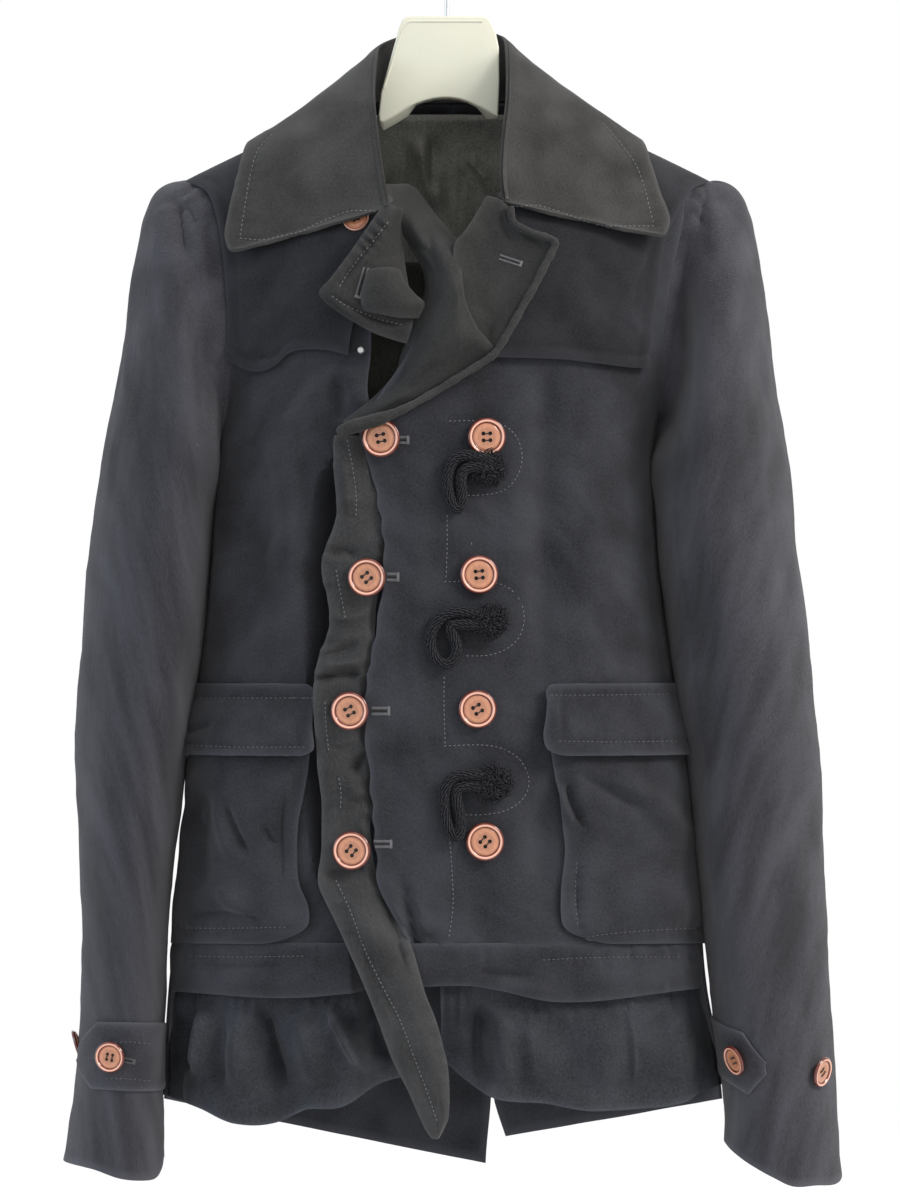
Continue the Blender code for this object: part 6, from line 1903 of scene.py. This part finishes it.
class CoatColours(bpy.types.PropertyGroup):
    wool: tint("Wool", "Fronts, backs, pockets and bands", (0.029, 0.03, 0.036))
    # The front yokes are painted darker than the body's wool, as painted shade.
    yoke: tint("Yokes", "The yokes over the shoulders", (0.018, 0.0185, 0.022))
    # The sleeves are painted lighter than the body's wool, as painted light.
    sleeve: tint("Sleeves", "The sleeves and cuff tabs", (0.042, 0.042, 0.05))
    collar: tint("Collar", "The collar's top side", (0.036, 0.035, 0.034))
    peplum: tint("Peplum", "The thin ruffle", (0.029, 0.031, 0.037))
    facing: tint("Facing", "The turned-out edge strip", (0.03, 0.0302, 0.031))
    lapel: tint("Lapels", "The turned-out lapels and the neck", (0.0205, 0.0203, 0.0198))
    lining: tint("Lining", "Inside of the back", (0.24, 0.237, 0.21))
    rope: tint("Rope", "Loops and button thread", (0.006, 0.006, 0.007))
    thread: tint("Topstitch", "The sewing that shows", (0.17, 0.17, 0.18))
    button: tint("Button face", "The paler middle of a button", (0.54, 0.23, 0.125))
    button_rim: tint("Button rim", "The darker rim of a button", (0.12, 0.018, 0.009))
    plastic: tint("Hanger", "The moulded hanger", (0.68, 0.67, 0.55))


# ---- operators ----


class COAT_OT_body(bpy.types.Operator):
    """Cuts and hangs the two fronts and the two halves of the back"""

    bl_idname = "coat.body"
    bl_label = "Fronts and back"

    def execute(self, context):
        cell = sizes().broad_cell
        for side, edge, lift in ((RIGHT, OVER_FRONT_EDGE, over_lift), (LEFT, UNDER_FRONT_EDGE, under_lift)):
            name = "front_" + NAMES[side]
            point = partial(front_point, side, edge, lift, ("front", name), side + 2)
            sheet(name, point, cell, WOOL, FORWARDS, "wool", (name,))
            name = "back_" + NAMES[side]
            point = partial(back_point, side, side + 5)
            sheet(name, point, (cell * 1.6, cell * 1.8), WOOL, BACKWARDS, "wool", (name,))
        return {"FINISHED"}


class COAT_OT_yokes(bpy.types.Operator):
    """Lays the yokes over the shoulders, in front and behind"""

    bl_idname = "coat.yokes"
    bl_label = "Yokes"

    def execute(self, context):
        cell = sizes().fine_cell
        for side, foot, edge in (
            (RIGHT, LEFT_YOKE_FOOT, OVER_FRONT_EDGE),
            (LEFT, RIGHT_YOKE_FOOT, UNDER_FRONT_EDGE),
        ):
            node = "yoke_front_" + NAMES[side]
            point = partial(yoke_point, side, foot, edge, (node,), 3 - side)
            sheet("yoke_" + NAMES[side], point, cell * 1.45, YOKE, FORWARDS, "yoke", (node,))
        sheet("yoke_back", yoke_back_point, cell * 2.5, YOKE, BACKWARDS, "wool", ("yoke_back",))
        return {"FINISHED"}


class COAT_OT_hem(bpy.types.Operator):
    """Adds the turned-up hem bands and the thin ruffle that hangs below them"""

    bl_idname = "coat.hem"
    bl_label = "Hem bands and peplum"

    def execute(self, context):
        cell = sizes().fine_cell
        for side, ends, waves, lift in (
            (RIGHT, (169, -28), LEFT_PEPLUM, over_lift),
            (LEFT, (-183, -30), RIGHT_PEPLUM, under_lift),
        ):
            name = NAMES[side]
            node, under = "hem_band_" + name, ("cloth_front_" + name,)
            point = partial(band_point, *ends, lift, (node,), 4 + side)
            sheet("band_" + name, point, cell * 0.95, HEM, FORWARDS, "wool", (node,))
            node, under = "peplum_" + name, ("cloth_band_" + name,)
            point = partial(peplum_point, waves, lift, (node,), 6 + side)
            cells = (cell * 0.93, cell * 1.7)
            sheet(node, point, cells, THIN, FORWARDS, "peplum", (node,))
        return {"FINISHED"}


class COAT_OT_pockets(bpy.types.Operator):
    """Sews on the patch pockets and their flaps"""

    bl_idname = "coat.pockets"
    bl_label = "Pockets and flaps"

    def execute(self, context):
        for side, edge, flap_edge in (
            (RIGHT, LEFT_POCKET_EDGE, LEFT_FLAP_EDGE),
            (LEFT, RIGHT_POCKET_EDGE, RIGHT_FLAP_EDGE),
        ):
            for kind, point_of, line, seed, under in (
                ("pocket_", pocket_point, edge, 8 + side, "cloth_front_"),
                ("flap_", flap_point, flap_edge, 11 + side, "cloth_pocket_"),
            ):
                name = kind + NAMES[side]
                point, rests = partial(point_of, side, line, (name,), seed), (under + NAMES[side],)
                sheet(name, point, sizes().fine_cell, WOOL, FORWARDS, "wool", (name,))
        return {"FINISHED"}


class COAT_OT_facings(bpy.types.Operator):
    """Turns out the lapels, the throat tab and the strip along the lapped edge, and lines the back"""

    bl_idname = "coat.facings"
    bl_label = "Lapels, tab, edge strip and lining"

    def execute(self, context):
        cell = sizes().fine_cell
        for name, rows, seed, fine, finish, nodes, under in (
            ("lapel_left", LEFT_LAPEL, 2, 0.95, "lapel", ("lapel_left",), "cloth_yoke_left"),
            ("neck_facing", NECK_FACING, 4, 1.45, "lapel", (), "cloth_lapel_left"),
            ("lapel_right", RIGHT_LAPEL, 3, 0.95, "lapel", ("lapel_right",), "cloth_yoke_right"),
            ("throat_tab", THROAT_TAB, 5, 0.95, "lapel", ("throat_tab",), "cloth_lapel_right"),
            # This sheet is painted nearly black as painted shade inside the opening.
            ("inner_facing", PAINTED_SHADE_SHEET, 6, 2.0, "inside", (), "cloth_front_right"),
        ):
            point = partial(formed_point, rows, name, seed)
            sheet(name, point, cell * fine, THIN, FORWARDS, finish, nodes)
        step = np.arange(RIM_STEPS)
        route = np.stack(through(place(*np.array(LAPEL_RIM).T[[0, 2, 1]]), RIM_STEPS), -1)
        wobble = 1 + 0.08 * np.sin(step * 0.7) + 0.06 * np.sin(step * 1.9) + 0.85 * ease(step, 116, 132)
        rim = swept(route, LAPEL_RIM_RADIUS * wobble, 14)
        finish_piece(joined("lapel_rim", [rim]), "collar")
        node, under = ("edge_strip",), ("cloth_front_left",)
        sheet("edge_strip", strip_point, cell * 1.1, THIN, FORWARDS, "facing", node)
        cells, under = (cell * 1.5, cell * 2.2), ("cloth_back_left", "cloth_back_right")
        sheet("lining", lining_point, cells, LINING, FORWARDS, "lining", ("lining_back",))
        return {"FINISHED"}


class COAT_OT_sleeves(bpy.types.Operator):
    """Sets in the sleeves and straps their cuffs"""

    bl_idname = "coat.sleeves"
    bl_label = "Sleeves and cuff tabs"

    def execute(self, context):
        cells = (sizes().broad_cell * 1.2, sizes().broad_cell * 2)
        for side in (RIGHT, LEFT):
            name = "sleeve_" + NAMES[side]
            point, nodes = partial(sleeve_point, side, (name,), 9 + side), (name + "_front", name + "_back")
            under = ("cloth_front_" + NAMES[side],)
            sheet(name, point, cells, WOOL, (side, 0, 0), "sleeve", nodes, closed=True)
            tab, under = "cuff_tab_" + NAMES[side], ("cloth_" + name,)
            point, cell = partial(tab_point, side), sizes().fine_cell * 1.2
            sheet(tab, point, cell, WOOL, FORWARDS, "sleeve", (tab,))
        return {"FINISHED"}


class COAT_OT_collar(bpy.types.Operator):
    """Folds the collar over the neck"""

    bl_idname = "coat.collar"
    bl_label = "Collar"

    def execute(self, context):
        cell, node = sizes().fine_cell * 1.55, ("collar",)
        sheet("collar", collar_point, cell, COLLAR, (0, 0, 1), "collar", node)
        return {"FINISHED"}


class COAT_OT_buttons(bpy.types.Operator):
    """Sews on the front, collar and cuff buttons"""

    bl_idname = "coat.buttons"
    bl_label = "Buttons and snap"

    def execute(self, context):
        large_radius, small_radius = sizes().button_radius, sizes().cuff_button_radius
        large, small = button_blank("blank", large_radius), button_blank("small blank", small_radius)
        threads = []
        for name, x, z, lift, spin in FRONT_BUTTONS:
            spot, out = on_body(x, z, FRONT, lift), front_normal(x, z)
            threads += self.sew_on(large, name, spot, out, spin, "button", large_radius)
        name, x, z, lift = COLLAR_BUTTON
        tiny = button_blank("tiny blank", COLLAR_BUTTON_RADIUS)
        spot = on_body(x + 2.0, z + 11.4, FRONT, lift - 1.6)
        threads += self.sew_on(tiny, name, spot, front_normal(x, z), 20, "cuff_button", COLLAR_BUTTON_RADIUS)
        for name, side, along, angle, lift, spin, lean in CUFF_BUTTONS:
            along, angle = np.array([along]), np.array([radians(angle)])
            out = sleeve_out(side, along, angle)[0]
            spot = sleeve_spot(side, along, angle)[0] + out * lift
            threads += self.sew_on(small, name, spot, unit(out + lean), spin, "cuff_button", small_radius)
        for blank in (large, small, tiny):
            bpy.data.objects.remove(blank, do_unlink=True)
        finish_piece(joined("button_threads", threads), "dark_thread", angle=80)
        return {"FINISHED"}

    def sew_on(self, blank, node, spot, out, spin, finish, radius):
        """Stands a copy of a blank on a spot, and returns the threads that hold it."""
        made = blank.copy()
        made.data = blank.data.copy()
        made.name = made.data.name = "turned_" + node
        bpy.context.scene.collection.objects.link(made)
        facing = Vector(out).to_track_quat("Z", "Y").to_matrix().to_4x4()
        turn = Matrix.Rotation(radians(spin), 4, "Z")
        made.matrix_world = Matrix.Translation(Vector(spot) * MM) @ facing @ turn
        threads = button_thread(made.matrix_world.copy(), radius)
        finish_piece(made, finish, (node,), angle=35)
        return threads


class COAT_OT_loops(bpy.types.Operator):
    """Twists the three rope loops"""

    bl_idname = "coat.loops"
    bl_label = "Rope loops"

    def execute(self, context):
        for index, (points, root) in enumerate(zip(LOOP_ROUTES, LOOP_ROOTS)):
            route, total = smooth_route(points, 150)
            parts = twisted(route, total, sizes().rope_radius, STRANDS, TWIST, 10) + frayed(*root, index)
            made = joined(f"rope_loop_{index + 1}", parts)
            finish_piece(made, "rope", (f"loop_{index + 1}",))
        return {"FINISHED"}


class COAT_OT_hanger(bpy.types.Operator):
    """Moulds the hanger's plate, and finishes its arms and its wire hook"""

    bl_idname = "coat.hanger"
    bl_label = "Hanger"

    def execute(self, context):
        shown = {"hanger_arm_left": "plastic", "hanger_arm_right": "plastic", "snap": "steel"}
        for node, finish in shown.items():
            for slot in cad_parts[node].material_slots:
                slot.material = FINISHES[finish]
        finish_piece(moulded_plate(), "plastic", ("hanger_plate",), angle=40)
        x, z = through(PLATE_LINE, 90)
        line = swept(place(x, PLATE_Y - PLATE_HALF + 0.35, z), PLATE_LINE_RADIUS, 10)
        finish_piece(joined("plate_line", [line]), "plastic")
        turn = np.radians(np.linspace(-80, 190, 80))
        reach = HOOK_RADIUS + WIRE_RADIUS
        y = PLATE_Y * (1 - ease(np.arange(80), 0, 16))
        bend = np.stack((reach * np.cos(turn), y, reach * np.sin(turn) - HOOK_RADIUS), -1)
        foot = [(x, PLATE_Y, z) for x, z in HOOK_FOOT]
        wire = swept(np.concatenate((foot, bend)), WIRE_RADIUS * WIRE_SHARE, 18)
        finish_piece(joined("hook_wire", [wire]), "steel", ("hanger_hook",))
        return {"FINISHED"}


class COAT_OT_sewing(bpy.types.Operator):
    """Lays every stitch that shows on the cloth under it"""

    bl_idname = "coat.sewing"
    bl_label = "Topstitching"

    def execute(self, context):
        for name in dict.fromkeys((*SEWING, *BUTTONHOLES)):
            cloth = Cloth(bpy.data.objects["cloth_" + name.replace("hem_", "")])
            parts, slit_shades = [], []
            for line in SEWING.get(name, ()):
                parts += cloth.stitches(line)
            for hole in BUTTONHOLES.get(name, ()):
                edges, slot = cloth.buttonhole(*hole)
                parts += edges
                slit_shades += slot
            if not parts:
                raise RuntimeError("no stitch lies on " + name)
            finish = "quiet_thread" if kind_of(name) in QUIET else "thread"
            finish_piece(joined("stitches_" + name, parts), finish, angle=80)
            # The dark threads in the slots are painted shade of the cuts.
            if slit_shades:
                finish_piece(joined("slit_shades_" + name, slit_shades), "dark_thread", angle=80)
        return {"FINISHED"}


class COAT_OT_stage(bpy.types.Operator):
    """Sets the camera, soft lights, a white surround and a pale floor"""

    bl_idname = "coat.stage"
    bl_label = "Stage"

    def execute(self, context):
        context.scene.view_settings.view_transform = "Standard"
        self.lay_floor()
        self.surround()
        for name, spot, aim, power, size, colour in LAMPS:
            bpy.ops.object.light_add(type="AREA", location=spot)
            lamp = context.object
            lamp.name = name
            lamp.data.energy, lamp.data.size, lamp.data.color = power, size, colour
            lamp.rotation_euler = (Vector(aim) - Vector(spot)).to_track_quat("-Z", "Y").to_euler()
        bpy.ops.object.camera_add(location=EYE, rotation=(pi / 2, 0, 0))
        camera = context.object
        camera.data.sensor_width = SENSOR
        camera.data.lens = SENSOR * VIEW_DISTANCE / VIEW_HEIGHT
        camera.data.clip_end = 20
        context.scene.camera = camera
        return {"FINISHED"}

    def lay_floor(self):
        """A pale disc that fades out towards its rim."""
        deselect()
        bpy.ops.mesh.primitive_circle_add(
            vertices=96, radius=FLOOR_RADIUS, fill_type="TRIFAN", location=(0, 0, FLOOR_Z)
        )
        floor = bpy.context.object
        floor.name = "floor"
        bpy.ops.object.transform_apply(location=True, rotation=True, scale=True)
        pale = Finish("pale floor", specular_ior_level=0.2)
        at = pale.object_place()
        out = pale.length(pale.stretch(at, (1, 1, 0)))
        tone = pale.mix(pale.noise(at, 40), (0.86, 0.86, 0.86), (0.9, 0.9, 0.9))
        paint = pale.paint(base_color=tone, roughness=0.8 + out * 0.05, alpha=1 - out.ramp(0.35, 1.3))
        floor.data.materials.append(paint)

    def surround(self):
        """A world that is white at the height of the eye, and darker above and below."""
        world = bpy.data.worlds.new("white surround")
        world.use_nodes = True
        nodes = Nodes(world.node_tree)
        height = nodes.split(nodes.node("ShaderNodeTexCoord"))[2] * 0.5 + 0.5
        tone = nodes.node("ShaderNodeValToRGB", {"stops": SURROUND}, {0: height})
        nodes.join(tone, world.node_tree.nodes["Background"].inputs["Color"])
        bpy.context.scene.world = world


class COAT_PT_panel(bpy.types.Panel):
    """The coat's sizes, colours and making steps"""

    bl_label = "Coat"
    bl_idname = "COAT_PT_panel"
    bl_space_type = "VIEW_3D"
    bl_region_type = "UI"
    bl_category = "Coat"

    def draw(self, context):
        for group in (context.scene.coat_sizes, context.scene.coat_colours):
            box = self.layout.box()
            for name in group.__annotations__:
                box.prop(group, name)
        for step in STEPS:
            self.layout.operator(step.bl_idname)


STEPS = (
    COAT_OT_stage, COAT_OT_body, COAT_OT_yokes, COAT_OT_hem, COAT_OT_pockets, COAT_OT_facings, COAT_OT_sleeves,
    COAT_OT_collar, COAT_OT_buttons, COAT_OT_loops, COAT_OT_hanger, COAT_OT_sewing,
)
CLASSES = (CoatSizes, CoatColours, *STEPS, COAT_PT_panel)


def register():
    for each in CLASSES:
        bpy.utils.register_class(each)
    bpy.types.Scene.coat_sizes = PointerProperty(type=CoatSizes)
    bpy.types.Scene.coat_colours = PointerProperty(type=CoatColours)


def unregister():
    del bpy.types.Scene.coat_sizes
    del bpy.types.Scene.coat_colours
    for each in reversed(CLASSES):
        bpy.utils.unregister_class(each)


def main():
    register()
    make_finishes()
    for step in STEPS:
        group, name = step.bl_idname.split(".")
        getattr(getattr(bpy.ops, group), name)()


if __name__ == "__main__":
    main()
